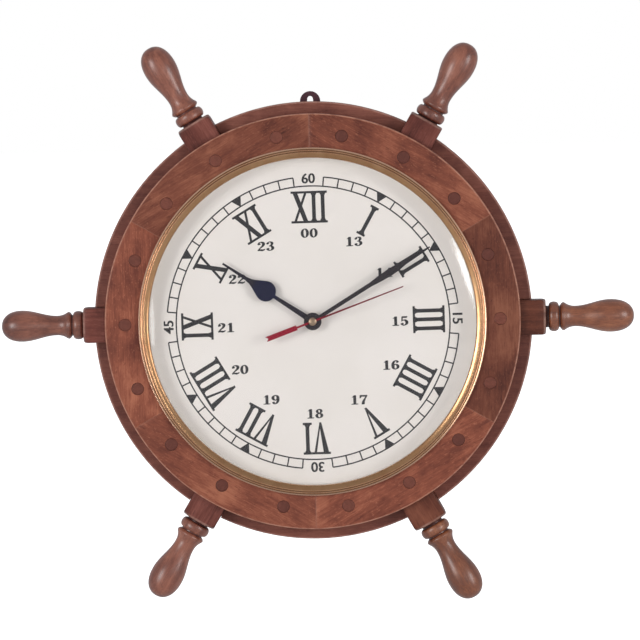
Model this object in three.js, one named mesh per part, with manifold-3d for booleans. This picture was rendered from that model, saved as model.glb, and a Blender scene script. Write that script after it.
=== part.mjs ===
// Ships wheel clock that hangs on a wall: a wooden wheel with six turned handles round a brass
// bezel, a domed glass, a printed dial and a battery movement. Millimetres, +Z up, dial facing -Y.
// The origin is the hanging eye, in the plane of the wall.
// Below, everything is drawn facing +Z round the wheel's centre, with the wall at z = 0.
import * as THREE from "three";
import { mergeVertices } from "three/addons/utils/BufferGeometryUtils.js";
import Module from "manifold-3d";

const wasm = await Module();
wasm.setup();

// Clearances
const seatGap = 0.3; // a fixed piece in its housing, and the joint between two felloes
const runGap = 0.12; // a turning shaft in its bearing, or a pipe on the shaft inside it
const endPlay = 0.3; // a turning piece and the plate in front of it or behind it
const cutOver = 1; // how far a cutting solid runs past the surface that it cuts
const joinLap = 0.1; // how far two solids that become one run into each other

// Wooden rings: a back ring, and a front ring made of one felloe for each spoke
const frontRingWidth = 28; // bore to rim
const frontRingThickness = 18;
const backRingWidth = 44;
const backRingThickness = 26;
const rimStep = 8.5; // rim of the back ring past the rim of the front ring
const edgeEase = 1;

// Spokes: a square root let half into each ring, and a turned handle
const spokeSquare = 24.8;
const spokeRootWeb = 1.5; // wood left between the root and the bore of the front ring
const shoulderDrop = 3;
const neckRadius = 8;
const beadLength = 7.2;
const beadRadius = 10.6;
const collarRise = 3.3; // groove to the crest of the collar
const collarRadius = 10.1;
const collarToWaist = 8.2;
const waistRadius = 7.4;
const waistToBulb = 25.4;
const bulbRadius = 11.7;
const spokeForms = [
  // Turned and set by hand, so each has its own turn off the even spacing, in degrees, and its
  // own lengths: square part past the rim of the back ring, neck, and middle of the bulb to tip
  [0, 9.4, 2.1, 16.6],
  [-0.7, 8.3, 0.8, 16.9],
  [0.2, 8.5, 1.3, 16.7],
  [0.1, 7.6, 0.3, 14.4],
  [-0.9, 8.8, 1.6, 16.7],
  [-0.7, 10.6, 1.9, 16.2],
];

// Dowels through the front ring, three for each felloe
const dowelsPerFelloe = 3;
const dowelInset = 13.5; // from the bore of the front ring to the middle of a dowel
const dowelRadius = 4.5;
const dowelLength = 26;

// Hanging eye: a keyhole plate let into the back ring
const eyeWidth = 14.6;
const eyeThickness = 1.5;
const eyeLength = 26; // below the rim of the back ring
const eyeSlotRadius = 2;
const eyeSlotRise = 1.8; // slot centre above the rim of the back ring
const slotFoot = 2.57; // half the slot's width where it meets the keyhole
const keyholeRadius = 4;
const keyholeDrop = 7; // keyhole centre below the rim
const nailHeadRoom = 5; // depth of the hollow in front of the keyhole
const screwHeadRadius = 2.6;
const screwHeadHeight = 1.2;
const screwShankRadius = 1.3;
const screwLength = 12;
const screwSpacing = 7.6;
const screwDrop = 20; // screws below the rim

// Glass, bezel and the ring that holds the glass up
const glassRadius = 117.5;
const glassThickness = 2;
const glassRise = 8;
const glassRim = 2; // flat rim round the dome
const glassLap = 1.5; // how far the bezel covers the rim
const bezelWall = 1.4;
const bezelFlange = 4.3; // how far the bezel covers the wood
const bezelHeight = 3.4;
const bezelMoulding = [
  // across the flange from its edge, and up it, as shares of its width and height
  [0, 0.55],
  [0.3, 0.35],
  [0.45, 0.85],
  [0.8, 1],
  [1, 0.4],
];
const lipThickness = 0.6;
const glassSink = 1.6; // rim of the glass below the front face of the wood
const spacerWall = 1.2;

// Dial and the board that carries it
const boardThickness = 6;
const dialThickness = 1;

// Movement case
const caseWall = 1.2;
const casePlate = 1.5; // front wall and rear cover
const batteryRadius = 7.25;
const batteryLength = 49.5;
const batteryNub = 1;
const batteryNubRadius = 2.4;
const contactSide = 9;
const contactThickness = 0.4;
const contactStud = 1.55;

// Bushing through the dial, nut, and the coaxial shafts inside it
const bushingRadius = 4;
const bushingProud = 3; // above the dial
const nutAcrossFlats = 10;
const nutHeight = 2;
const hourPipeRadius = 2.6;
const minutePipeRadius = 1.5;
const secondShaftRadius = 0.5;
const arborRadius = 0.5;
const arborPivot = 0.7; // depth of the blind bearing holes

// Gear train: tooth counts, and the module of each meshing pair
const rotorTeeth = 8;
const fifthTeeth = 48;
const fifthPinionTeeth = 10;
const secondTeeth = 50;
const secondPinionTeeth = 8;
const thirdTeeth = 60;
const thirdPinionTeeth = 8;
const centreTeeth = 64;
const centrePinionTeeth = 12;
const motionTeeth = 36;
const motionPinionTeeth = 10;
const hourTeeth = 40;
const rotorModule = 0.25;
const secondModule = 0.28;
const thirdModule = 0.24;
const motionModule = 0.35;
const fifthAt = 15; // directions of the arbors from the hands' shaft, in degrees
const thirdAt = 165;
const motionAt = 90;
const rotorAt = 40; // direction from the fifth arbor
const wheelThickness = 0.8;
const layerStep = 2.3; // from one wheel to the next above it
const layerGap = 0.4; // a pinion past the wheel that it meshes with
const trainRoom = 1.3; // free height under the lowest wheel and over the highest pinion
const magnetRadius = 3;
const magnetLength = 2.6;
const magnetGap = 0.4;
const knobRadius = 6;
const knobHeight = 5;
const knobGap = 0.4;
const knobSocket = 2.5; // how deep the arbor reaches into the knob
const knobRibs = 12;
const knobRibDepth = 0.5;

// Coil, stator and circuit board
const coilRadius = 4;
const coilLength = 20;
const coreThickness = 1.2;
const coreWidth = 3;
const statorWidth = 8;
const boardPlate = 1;
const circuitWidth = 9;
const circuitLength = 30;

// Hands, in degrees clockwise from twelve, and their outlines
const hourAngle = 303.7;
const minuteAngle = 58.5;
const secondAngle = 69.8;
const handThickness = 0.6;
const handGap = 1.2; // between one hand and the next
const bossRadius = 6.3;
const hourLength = 76;
const hourRoot = 4.2; // width of the stem at the hands' axis, and at the bulb
const hourStem = 2.5;
const hourBulbRadius = 7.3;
const hourBulbAt = 39.6;
const hourBulbTurn = 26; // where the bulb's circle leaves for the tip, in degrees above its middle
const hourTipHalf = 0.7;
const hourTaper = [
  // half width, and height above the bulb's middle, in radii of the bulb
  [0.64, 0.95],
  [0.39, 1.43],
  [0.25, 1.8],
  [0.17, 2.3],
];
const minuteLength = 98.5;
const minuteRoot = 2.7; // width of the stem at the hands' axis, and at the leaf
const minuteStem = 3;
const minuteLeafWidth = 5.2;
const minuteLeafFrom = 48.8;
const minuteLeafAt = 65;
const minuteTipHalf = 0.5;
const minuteTaper = [
  // half width as a share of the leaf's width, and distance as a share of that to the leaf
  [0.42, 0.86],
  [0.51, 1],
  [0.46, 1.09],
  [0.28, 1.19],
  [0.19, 1.41],
];
const secondLength = 69;
const secondNeedle = 0.8; // width at the tip, and at the hands' axis
const secondRoot = 1.4;
const secondTail = 35.5;
const secondTailStart = 12;
const secondTailWidth = 3.6;
const capRadius = 2.9;
const capHeight = 1.6;

// Colours
const frontWood = [0x85513f, 0.48, 0];
const backWood = [0x633c33, 0.55, 0];
const spokeWood = [0x8a6552, 0.38, 0];
const dowelWood = [0x5f3529, 0.6, 0];
const brass = [0xd0a468, 0.28, 1];
const eyeMetal = [0x55323c, 0.5, 0.8];
const steel = [0xa8a8ab, 0.35, 1];
const clearGlass = [0xf4f6f6, 0.05, 0];
const dialCard = [0xe2dcd4, 0.65, 0];
const boardWood = [0xb08a5e, 0.8, 0];
const handBlack = [0x2c2730, 0.45, 0.2];
const handRed = [0x9a2d40, 0.4, 0.1];
const caseBlack = [0x1c1c1e, 0.5, 0];
const copper = [0xb06a44, 0.4, 0.8];
const circuitGreen = [0x2f5a3a, 0.6, 0];
const batteryWrap = [0x3a3f46, 0.4, 0.3];
const gearPlastic = [0xe8e4da, 0.5, 0];
const gearBrass = [0xcaa15a, 0.35, 1];

// Levels above the wall
const frontFace = backRingThickness + frontRingThickness;
const spokeMid = backRingThickness;
const dialTop = backRingThickness + boardThickness + dialThickness;
const glassTop = frontFace - glassSink;
const glassBottom = glassTop - glassThickness;
const caseFront = backRingThickness;
const innerFront = caseFront - casePlate;
const hourLevel = innerFront - trainRoom - layerGap - wheelThickness;
const motionLevel = hourLevel - layerStep;
const centreLevel = motionLevel - layerStep;
const thirdLevel = centreLevel - layerStep;
const fifthLevel = thirdLevel;
const secondLevel = thirdLevel - layerStep;
const innerBack = secondLevel - trainRoom;
const caseBack = innerBack - casePlate;
const bushingTop = dialTop + bushingProud;
const hourHandLevel = bushingTop + handGap;
const minuteHandLevel = hourHandLevel + handThickness + handGap;
const secondHandLevel = minuteHandLevel + handThickness + handGap;

// Radii that follow from the glass
const bezelSkirtInner = glassRadius + seatGap;
const bezelSkirtOuter = bezelSkirtInner + bezelWall;
const bezelOuter = bezelSkirtOuter + bezelFlange;
const bezelLip = glassRadius - glassLap;
const boardRadius = bezelSkirtOuter;
const frontRingBore = bezelSkirtOuter + seatGap;
const frontRingOuter = frontRingBore + frontRingWidth;
const backRingOuter = frontRingOuter + rimStep;
const backRingInner = backRingOuter - backRingWidth;
const dowelCircle = frontRingBore + dowelInset;
const spokeInnerEnd = frontRingBore + spokeRootWeb;

// Sides of the round solids, by size
const ringSides = 60;
const turnedSides = 14;
const smallSides = 12;
const pinSides = 8;

// A closed mesh as a solid, and a solid as geometry again
function solidOf(geometry) {
  const bare = geometry.index ? geometry.toNonIndexed() : geometry;
  bare.deleteAttribute("normal");
  bare.deleteAttribute("uv");
  const merged = mergeVertices(bare, 1e-4);
  const triangles = [];
  const corners = merged.index.array;
  for (let i = 0; i < corners.length; i += 3) {
    const [a, b, c] = corners.slice(i, i + 3);
    if (a !== b && b !== c && c !== a) triangles.push(a, b, c);
  }
  const mesh = new wasm.Mesh({
    numProp: 3,
    vertProperties: merged.attributes.position.array,
    triVerts: new Uint32Array(triangles),
  });
  return new wasm.Manifold(mesh);
}

function geometryOf(solid) {
  const mesh = solid.getMesh();
  const geometry = new THREE.BufferGeometry();
  geometry.setAttribute("position", new THREE.BufferAttribute(mesh.vertProperties, 3));
  geometry.setIndex(new THREE.BufferAttribute(mesh.triVerts, 1));
  geometry.computeVertexNormals();
  return geometry;
}

function joined(first, ...others) {
  return others.reduce((whole, piece) => whole.add(piece), first);
}

function without(first, ...others) {
  return others.reduce((whole, piece) => whole.subtract(piece), first);
}

// Simple solids, from one level to another along Z
function block(x0, x1, y0, y1, z0, z1) {
  const geometry = new THREE.BoxGeometry(x1 - x0, y1 - y0, z1 - z0);
  geometry.translate((x0 + x1) / 2, (y0 + y1) / 2, (z0 + z1) / 2);
  return solidOf(geometry);
}

function rod(radius, z0, z1, sides = smallSides, x = 0, y = 0) {
  const geometry = new THREE.CylinderGeometry(radius, radius, z1 - z0, sides);
  geometry.rotateX(Math.PI / 2);
  geometry.translate(x, y, (z0 + z1) / 2);
  return solidOf(geometry);
}

// A hole that a shaft of this radius clears by gap at every angle, in spite of the flats
function hole(radius, gap, z0, z1, sides = smallSides, x = 0, y = 0) {
  return rod((radius + gap) / Math.cos(Math.PI / sides), z0, z1, sides, x, y);
}

function turned(profile, sides) {
  const points = profile.map(([radius, level]) => new THREE.Vector2(radius, level));
  const geometry = new THREE.LatheGeometry(points, sides);
  geometry.rotateX(Math.PI / 2);
  return solidOf(geometry);
}

function turnedRing(profile, sides) {
  return turned([...profile, profile[0]], sides);
}

function plate(outline, z0, z1) {
  const shape = new THREE.Shape(outline.map(([x, y]) => new THREE.Vector2(x, y)));
  const geometry = new THREE.ExtrudeGeometry(shape, { depth: z1 - z0, bevelEnabled: false });
  geometry.translate(0, 0, z0);
  return solidOf(geometry);
}

function arc(cx, cy, radius, from, to, steps) {
  return Array.from({ length: steps + 1 }, (_, i) => {
    const angle = THREE.MathUtils.degToRad(from + ((to - from) * i) / steps);
    return [cx + radius * Math.cos(angle), cy + radius * Math.sin(angle)];
  });
}

// A smooth step from one value to another, with level ends
function eased(from, to, share) {
  return from + ((to - from) * (1 - Math.cos(Math.PI * share))) / 2;
}

function shares(steps) {
  return Array.from({ length: steps }, (_, i) => (i + 1) / steps);
}

const clock = new THREE.Group();

function addPiece(name, solid, [color, roughness, metalness], parent = clock) {
  const material = new THREE.MeshStandardMaterial({ color, roughness, metalness });
  const mesh = new THREE.Mesh(geometryOf(solid), material);
  mesh.name = name;
  parent.add(mesh);
  return mesh;
}

// The housing for a square root, turned as its spoke is, in whatever ring it is cut from
function spokeHousing(degrees) {
  const half = spokeSquare / 2 + seatGap;
  const low = spokeMid - half;
  const outside = backRingOuter + cutOver;
  const room = block(spokeInnerEnd - seatGap, outside, -half, half, low, spokeMid + half);
  return room.rotate([0, 0, degrees]);
}

// Dowel directions round one felloe, with the middle one on its spoke
const felloeSpan = 360 / spokeForms.length;
const dowelStep = felloeSpan / dowelsPerFelloe;
const dowelTurns = Array.from(
  { length: dowelsPerFelloe },
  (_, i) => (i - (dowelsPerFelloe - 1) / 2) * dowelStep,
);

function dowelHole(degrees) {
  const [[x, y]] = arc(0, 0, dowelCircle, degrees, degrees, 1);
  const bottom = frontFace - dowelLength - seatGap;
  return hole(dowelRadius, seatGap, bottom, frontFace + cutOver, smallSides, x, y);
}

// Front ring: one felloe, with the housing for a spoke turned this far off its middle
function felloe(spokeTurn) {
  const ring = turnedRing(
    [
      [frontRingBore, backRingThickness],
      [frontRingOuter, backRingThickness],
      [frontRingOuter, frontFace - edgeEase],
      [frontRingOuter - edgeEase, frontFace],
      [frontRingBore, frontFace],
    ],
    ringSides,
  );
  const half = felloeSpan / 2;
  const far = 2 * frontRingOuter;
  const apex = seatGap / 2 / Math.sin(THREE.MathUtils.degToRad(half));
  const sector = plate(
    [[apex, 0], ...arc(apex, 0, far, -half, half, 6)],
    backRingThickness - cutOver,
    frontFace + cutOver,
  );
  const cuts = [spokeHousing(spokeTurn), ...dowelTurns.map(dowelHole)];
  return without(ring.intersect(sector), ...cuts);
}

function backRing() {
  const ring = turnedRing(
    [
      [backRingInner, 0],
      [backRingOuter - edgeEase, 0],
      [backRingOuter, edgeEase],
      [backRingOuter, backRingThickness - edgeEase],
      [backRingOuter - edgeEase, backRingThickness],
      [backRingInner, backRingThickness],
    ],
    ringSides,
  );
  const cuts = [];
  for (const [i, [spokeTurn]] of spokeForms.entries()) {
    const turn = [0, 0, i * felloeSpan];
    cuts.push(spokeHousing(spokeTurn).rotate(turn));
    for (const degrees of dowelTurns) {
      if (degrees !== 0) cuts.push(dowelHole(degrees).rotate(turn));
    }
  }
  return without(ring, ...cuts, eyePocket());
}

// Spoke, drawn along +X from the wheel's centre but for its turn
function spoke([spokeTurn, shoulderProud, neckLength, bulbToTip]) {
  const shoulderRadius = backRingOuter + shoulderProud;
  const corner = (spokeSquare / 2) * Math.SQRT2;
  const envelope = (corner + cutOver) / Math.cos(Math.PI / turnedSides);
  const profile = [
    [0, spokeInnerEnd],
    [envelope, spokeInnerEnd],
    [envelope, shoulderRadius - shoulderDrop],
    [(corner + spokeSquare / 2) / 2, shoulderRadius - shoulderDrop / 4],
    [spokeSquare / 2, shoulderRadius],
    [neckRadius, shoulderRadius],
  ];
  let along = shoulderRadius + neckLength;
  profile.push([neckRadius, along]);
  for (const share of shares(4)) {
    const bulge = Math.sin(Math.PI * share);
    profile.push([neckRadius + (beadRadius - neckRadius) * bulge, along + beadLength * share]);
  }
  along += beadLength;
  for (const share of shares(2)) {
    profile.push([eased(neckRadius, collarRadius, share), along + collarRise * share]);
  }
  along += collarRise;
  for (const share of shares(2)) {
    const fall = (1 - share) ** 2;
    profile.push([waistRadius + (collarRadius - waistRadius) * fall, along + collarToWaist * share]);
  }
  along += collarToWaist;
  for (const share of shares(4)) {
    profile.push([eased(waistRadius, bulbRadius, share), along + waistToBulb * share]);
  }
  along += waistToBulb;
  for (const share of shares(4)) {
    const angle = (Math.PI / 2) * share;
    const radius = share === 1 ? 0 : bulbRadius * Math.cos(angle);
    profile.push([radius, along + bulbToTip * Math.sin(angle)]);
  }
  const half = spokeSquare / 2;
  const tip = along + bulbToTip;
  const bar = block(-half, half, -half, half, spokeInnerEnd - cutOver, tip + cutOver);
  const shaped = turned(profile, turnedSides).intersect(bar).rotate([0, 90, 0]);
  return shaped.rotate([0, 0, spokeTurn]).translate([0, 0, spokeMid]).subtract(dowelHole(0));
}

function dowel() {
  return rod(dowelRadius, frontFace - dowelLength, frontFace, smallSides, dowelCircle, 0);
}

// Hanging eye
const eyeBack = screwHeadHeight + seatGap;
const eyeFront = eyeBack + eyeThickness;

function eyePocket() {
  const half = eyeWidth / 2 + seatGap;
  const top = backRingOuter + eyeWidth;
  const seat = block(-half, half, backRingOuter - eyeLength - seatGap, top, -cutOver, eyeFront);
  const side = keyholeRadius + seatGap;
  const foot = backRingOuter - keyholeDrop - side;
  const headRoom = block(-side, side, foot, top, -cutOver, eyeFront + nailHeadRoom);
  return joined(seat, headRoom, ...[-1, 1].map(screwHole));
}

function screwHole(side) {
  const x = (side * screwSpacing) / 2;
  const y = backRingOuter - screwDrop;
  const end = eyeBack + screwLength + seatGap;
  return hole(screwShankRadius, seatGap, -cutOver, end, pinSides, x, y);
}

function hangingEye() {
  const half = eyeWidth / 2;
  const foot = backRingOuter - eyeLength;
  const outline = [[-half, foot], [half, foot], ...arc(0, backRingOuter, half, 0, 180, 12)];
  const keyholeAt = backRingOuter - keyholeDrop;
  const mouth = THREE.MathUtils.radToDeg(Math.acos(slotFoot / keyholeRadius));
  const keyhole = [
    ...arc(0, backRingOuter + eyeSlotRise, eyeSlotRadius, 10, 170, 6),
    ...arc(0, keyholeAt, keyholeRadius, 180 - mouth, 360 + mouth, 14),
  ];
  const cuts = [plate(keyhole, 0, eyeFront + cutOver), ...[-1, 1].map(screwHole)];
  return without(plate(outline, eyeBack, eyeFront), ...cuts);
}

function eyeScrew(side) {
  const x = (side * screwSpacing) / 2;
  const y = backRingOuter - screwDrop;
  const head = rod(screwHeadRadius, seatGap, eyeBack, smallSides, x, y);
  const end = eyeBack + screwLength;
  const shank = rod(screwShankRadius, eyeBack - joinLap, end, pinSides, x, y);
  return head.add(shank);
}

// Bezel, glass, spacer, dial and board
function bezel() {
  const lipBottom = glassTop + seatGap;
  const moulding = bezelMoulding.map(([across, up]) => [
    bezelOuter - across * bezelFlange,
    frontFace + up * bezelHeight,
  ]);
  const profile = [
    [bezelSkirtOuter, frontFace],
    [bezelOuter, frontFace],
    ...moulding,
    [bezelLip, lipBottom + lipThickness],
    [bezelLip, lipBottom],
    [bezelSkirtInner, lipBottom],
    [bezelSkirtInner, dialTop + seatGap],
    [bezelSkirtOuter, dialTop + seatGap],
  ];
  return turnedRing(profile, ringSides);
}

function glass() {
  const dome = glassRadius - glassRim;
  const rings = [0, 0.4, 0.75];
  const under = rings.map((share) => [dome * share, glassBottom + glassRise * (1 - share ** 2)]);
  const over = under.map(([radius, level]) => [radius, level + glassThickness]).reverse();
  const rim = [
    [dome, glassBottom],
    [glassRadius, glassBottom],
    [glassRadius, glassTop],
    [dome, glassTop],
  ];
  return turned([...under, ...rim, ...over], ringSides);
}

function spacer() {
  const outer = glassRadius;
  const inner = glassRadius - spacerWall;
  return turnedRing(
    [
      [inner, dialTop],
      [outer, dialTop],
      [outer, glassBottom],
      [inner, glassBottom],
    ],
    ringSides,
  );
}

// A disc that the bushing passes through
function disc(radius, bottom, top, sides = ringSides) {
  const bore = hole(bushingRadius, seatGap, bottom - cutOver, top + cutOver, turnedSides);
  return rod(radius, bottom, top, sides).subtract(bore);
}

function hexNut() {
  return disc(nutAcrossFlats / Math.sqrt(3), dialTop, dialTop + nutHeight, 6);
}

// Gear train
function centreDistance(module, teeth, otherTeeth) {
  return (module * (teeth + otherTeeth)) / 2;
}

function stepTo([x, y], distance, degrees) {
  const [[dx, dy]] = arc(0, 0, distance, degrees, degrees, 1);
  return [x + dx, y + dy];
}

const thirdDistance = centreDistance(thirdModule, secondPinionTeeth, thirdTeeth);
const motionDistance = centreDistance(motionModule, centrePinionTeeth, motionTeeth);
const centreModule = (2 * thirdDistance) / (thirdPinionTeeth + centreTeeth);
const hourModule = (2 * motionDistance) / (motionPinionTeeth + hourTeeth);
const handsAxis = [0, 0];
const fifthAxis = stepTo(
  handsAxis,
  centreDistance(secondModule, fifthPinionTeeth, secondTeeth),
  fifthAt,
);
const thirdAxis = stepTo(handsAxis, thirdDistance, thirdAt);
const motionAxis = stepTo(handsAxis, motionDistance, motionAt);
const rotorAxis = stepTo(fifthAxis, centreDistance(rotorModule, rotorTeeth, fifthTeeth), rotorAt);

// The phase, in degrees, of a gear that meshes with another lying in this direction from it
function meshedPhase(phase, teeth, direction, otherTeeth) {
  const pitch = 360 / teeth;
  const otherPitch = 360 / otherTeeth;
  const share = (direction - phase) / pitch;
  return direction + 180 - otherPitch * (0.5 - share);
}

function gear(module, teeth, phase, z0, z1) {
  const pitchRadius = (module * teeth) / 2;
  const outline = [];
  for (let i = 0; i < teeth; i++) {
    const middle = phase + (360 * i) / teeth;
    outline.push(...arc(0, 0, pitchRadius + 0.7 * module, middle, middle, 1).slice(1));
    const valley = middle + 180 / teeth;
    outline.push(...arc(0, 0, pitchRadius - 1.1 * module, valley, valley, 1).slice(1));
  }
  return plate(outline, z0, z1);
}

const arborLow = innerBack - arborPivot + endPlay;
const arborHigh = innerFront + arborPivot - endPlay;

function wheelAt(level, module, teeth, phase) {
  return gear(module, teeth, phase, level, level + wheelThickness);
}

const fifthPhase = meshedPhase(0, rotorTeeth, rotorAt + 180, fifthTeeth);
const secondPhase = meshedPhase(0, fifthPinionTeeth, fifthAt + 180, secondTeeth);
const thirdPhase = meshedPhase(0, secondPinionTeeth, thirdAt, thirdTeeth);
const centrePhase = meshedPhase(0, thirdPinionTeeth, thirdAt + 180, centreTeeth);
const motionPhase = meshedPhase(0, centrePinionTeeth, motionAt, motionTeeth);
const hourPhase = meshedPhase(0, motionPinionTeeth, motionAt + 180, hourTeeth);

function arbor(low = arborLow, high = arborHigh) {
  return rod(arborRadius, low, high, pinSides);
}

function rotor() {
  const top = fifthLevel + wheelThickness + layerGap;
  const pinion = gear(rotorModule, rotorTeeth, 0, fifthLevel - layerGap, top);
  const magnet = rod(magnetRadius, top, top + magnetLength, turnedSides);
  return joined(arbor(), pinion, magnet);
}

function fifthWheel() {
  const wheel = wheelAt(fifthLevel, rotorModule, fifthTeeth, fifthPhase);
  const low = secondLevel - layerGap;
  const pinion = gear(secondModule, fifthPinionTeeth, 0, low, fifthLevel);
  return joined(arbor(), wheel, pinion);
}

function secondWheel() {
  const wheel = wheelAt(secondLevel, secondModule, secondTeeth, secondPhase);
  const low = secondLevel + wheelThickness;
  const top = thirdLevel + wheelThickness + layerGap;
  const pinion = gear(thirdModule, secondPinionTeeth, 0, low, top);
  const shaft = rod(secondShaftRadius, arborLow, secondHandLevel + handThickness, pinSides);
  return joined(wheel, pinion, shaft);
}

function thirdWheel() {
  const wheel = wheelAt(thirdLevel, thirdModule, thirdTeeth, thirdPhase);
  const low = thirdLevel + wheelThickness;
  const top = centreLevel + wheelThickness + layerGap;
  const pinion = gear(centreModule, thirdPinionTeeth, 0, low, top);
  return joined(arbor(), wheel, pinion);
}

function centreWheel() {
  const low = centreLevel - layerGap;
  const top = minuteHandLevel + handThickness + endPlay;
  const wheel = wheelAt(centreLevel, centreModule, centreTeeth, centrePhase);
  const pinionTop = motionLevel + wheelThickness + layerGap;
  const pinion = gear(motionModule, centrePinionTeeth, 0, centreLevel + wheelThickness, pinionTop);
  const bore = hole(secondShaftRadius, runGap, low - cutOver, top + cutOver);
  return joined(rod(minutePipeRadius, low, top), wheel, pinion).subtract(bore);
}

function motionWheel() {
  const wheel = wheelAt(motionLevel, motionModule, motionTeeth, motionPhase);
  const low = motionLevel + wheelThickness;
  const top = hourLevel + wheelThickness + layerGap;
  const pinion = gear(hourModule, motionPinionTeeth, 0, low, top);
  return joined(arbor(caseBack - knobGap - knobSocket, arborHigh), wheel, pinion);
}

function hourWheel() {
  const low = hourLevel - layerGap;
  const top = hourHandLevel + handThickness + endPlay;
  const wheel = wheelAt(hourLevel, hourModule, hourTeeth, hourPhase);
  const bore = hole(minutePipeRadius, runGap, low - cutOver, top + cutOver);
  return joined(rod(hourPipeRadius, low, top), wheel).subtract(bore);
}

function setKnob() {
  const top = caseBack - knobGap;
  const pitch = 360 / knobRibs;
  const valley = knobRadius - knobRibDepth;
  const outline = [];
  for (let i = 0; i < knobRibs; i++) {
    outline.push(...arc(0, 0, knobRadius, i * pitch, (i + 0.5) * pitch, 1));
    outline.push(...arc(0, 0, valley, (i + 0.55) * pitch, (i + 0.95) * pitch, 1));
  }
  const bore = hole(arborRadius, runGap, top - knobSocket - endPlay, top + cutOver, pinSides);
  return plate(outline, top - knobHeight, top).subtract(bore);
}

// Movement case, cover and what they hold
const magnetLevel = fifthLevel + wheelThickness + layerGap;
const statorLevel = magnetLevel + (magnetLength - coreThickness) / 2;
const statorTop = statorLevel + coreThickness;
const statorLeft = rotorAxis[0] - statorWidth / 2;
const statorRight = rotorAxis[0] + statorWidth / 2;
const coilX = statorRight + coilRadius + seatGap;
const coilReach = coilX + coilRadius + seatGap;
const batteryReach = batteryLength / 2 + contactStud + contactThickness + 2 * seatGap;
const caseInner = Math.max(coilReach, batteryReach);
const caseHalf = caseInner + caseWall;
const batteryY = seatGap + batteryRadius - caseInner;
const bayTop = batteryY + batteryRadius + seatGap;
const gearBayBottom = bayTop + caseWall;
const batteryZ = innerFront - seatGap - batteryRadius;
const coilMid = (gearBayBottom + caseInner) / 2;
const coreEnd = coilLength / 2 + seatGap + coreWidth;
const circuitX = seatGap - caseInner;
const trainAxes = [fifthAxis, thirdAxis, rotorAxis];

function pivotHoles(axes, z0, z1) {
  return axes.map(([x, y]) => hole(arborRadius, runGap, z0, z1, pinSides, x, y));
}

function movementCase() {
  const shell = block(-caseHalf, caseHalf, -caseHalf, caseHalf, caseBack, caseFront);
  const open = caseBack - cutOver;
  const gearBay = block(-caseInner, caseInner, gearBayBottom, caseInner, open, innerFront);
  const batteryBay = block(-caseInner, caseInner, -caseInner, bayTop, open, innerFront);
  const bushing = rod(bushingRadius, innerFront, bushingTop, turnedSides);
  const bore = hole(hourPipeRadius, runGap, innerFront - cutOver, bushingTop + cutOver);
  const posts = [-1, 1].map((side) => {
    const y = coilMid + side * (coreEnd - coreWidth / 2);
    const x = statorRight - coreWidth / 2;
    return rod(coreWidth / 2, statorTop, innerFront + joinLap, smallSides, x, y);
  });
  const rail = block(
    circuitX,
    circuitX + caseWall,
    coilMid - circuitLength / 4,
    coilMid + circuitLength / 4,
    statorLevel + boardPlate,
    innerFront + joinLap,
  );
  const hollow = without(shell, gearBay, batteryBay);
  const axes = [...trainAxes, motionAxis];
  const pivots = pivotHoles(axes, innerFront - cutOver, innerFront + arborPivot);
  return without(joined(hollow, bushing, rail, ...posts), bore, ...pivots);
}

function movementCover() {
  const side = caseInner - seatGap;
  const cover = block(-side, side, gearBayBottom + seatGap, side, caseBack, innerBack);
  const top = innerBack + cutOver;
  const knobShaft = pivotHoles([motionAxis], caseBack - cutOver, top);
  const pivots = pivotHoles([...trainAxes, handsAxis], innerBack - arborPivot, top);
  return without(cover, ...knobShaft, ...pivots);
}

function battery() {
  const end = batteryLength / 2;
  const shoulder = end - batteryNub;
  const can = rod(batteryRadius, -end, shoulder, turnedSides);
  const nub = rod(batteryNubRadius, shoulder - joinLap, end, pinSides);
  return can.add(nub).rotate([0, 90, 0]).translate([0, batteryY, batteryZ]);
}

// A flat contact at one end of the battery bay, with a stud that reaches the battery
function contact(side) {
  const outer = side * (caseInner - seatGap);
  const inner = outer - side * contactThickness;
  const reach = side * (batteryLength / 2 + seatGap);
  const half = contactSide / 2;
  const low = Math.min(outer, inner);
  const high = Math.max(outer, inner);
  const blade = block(low, high, batteryY - half, batteryY + half, batteryZ - half, batteryZ + half);
  const root = inner + side * joinLap;
  const stud = rod(batteryNubRadius, Math.min(reach, root), Math.max(reach, root), pinSides);
  return blade.add(stud.rotate([0, 90, 0]).translate([0, batteryY, batteryZ]));
}

// The stator's bar holds the rotor's magnet, and its two arms carry the ends of the coil's core
function stator() {
  const low = coilMid - coreEnd;
  const high = coilMid + coreEnd;
  const armEnd = coilX + coreWidth / 2;
  const bar = block(statorLeft, statorRight, low, high, statorLevel, statorTop);
  const lowArm = block(statorLeft, armEnd, low, low + coreWidth, statorLevel, statorTop);
  const highArm = block(statorLeft, armEnd, high - coreWidth, high, statorLevel, statorTop);
  const bottom = statorLevel - cutOver;
  const gap = hole(magnetRadius, magnetGap, bottom, statorTop + cutOver, turnedSides, ...rotorAxis);
  return without(joined(bar, lowArm, highArm), gap);
}

function coil() {
  const side = coreWidth / 2;
  const middle = statorTop + coreThickness / 2;
  const ends = [coilMid - coreEnd, coilMid + coreEnd];
  const core = block(coilX - side, coilX + side, ...ends, statorTop, statorTop + coreThickness);
  const winding = rod(coilRadius, coilMid - coilLength / 2, coilMid + coilLength / 2, smallSides);
  return winding.rotate([-90, 0, 0]).translate([coilX, 0, middle]).add(core);
}

function circuitBoard() {
  const left = circuitX;
  const right = left + circuitWidth;
  const low = coilMid - circuitLength / 2;
  return block(left, right, low, low + circuitLength, statorLevel, statorLevel + boardPlate);
}

// Hands, drawn pointing to twelve
function mirrored(side) {
  return [...side, ...side.map(([x, y]) => [-x, y]).reverse()];
}

// A hand's plate, with its boss and the hole for its shaft
function handOf(outline, level, radius, shaftRadius, sides = turnedSides) {
  const top = level + handThickness;
  const boss = rod(radius, level, top, sides);
  const bore = hole(shaftRadius, seatGap / 2, level - cutOver, top + cutOver);
  return plate(outline, level, top).add(boss).subtract(bore);
}

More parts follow.
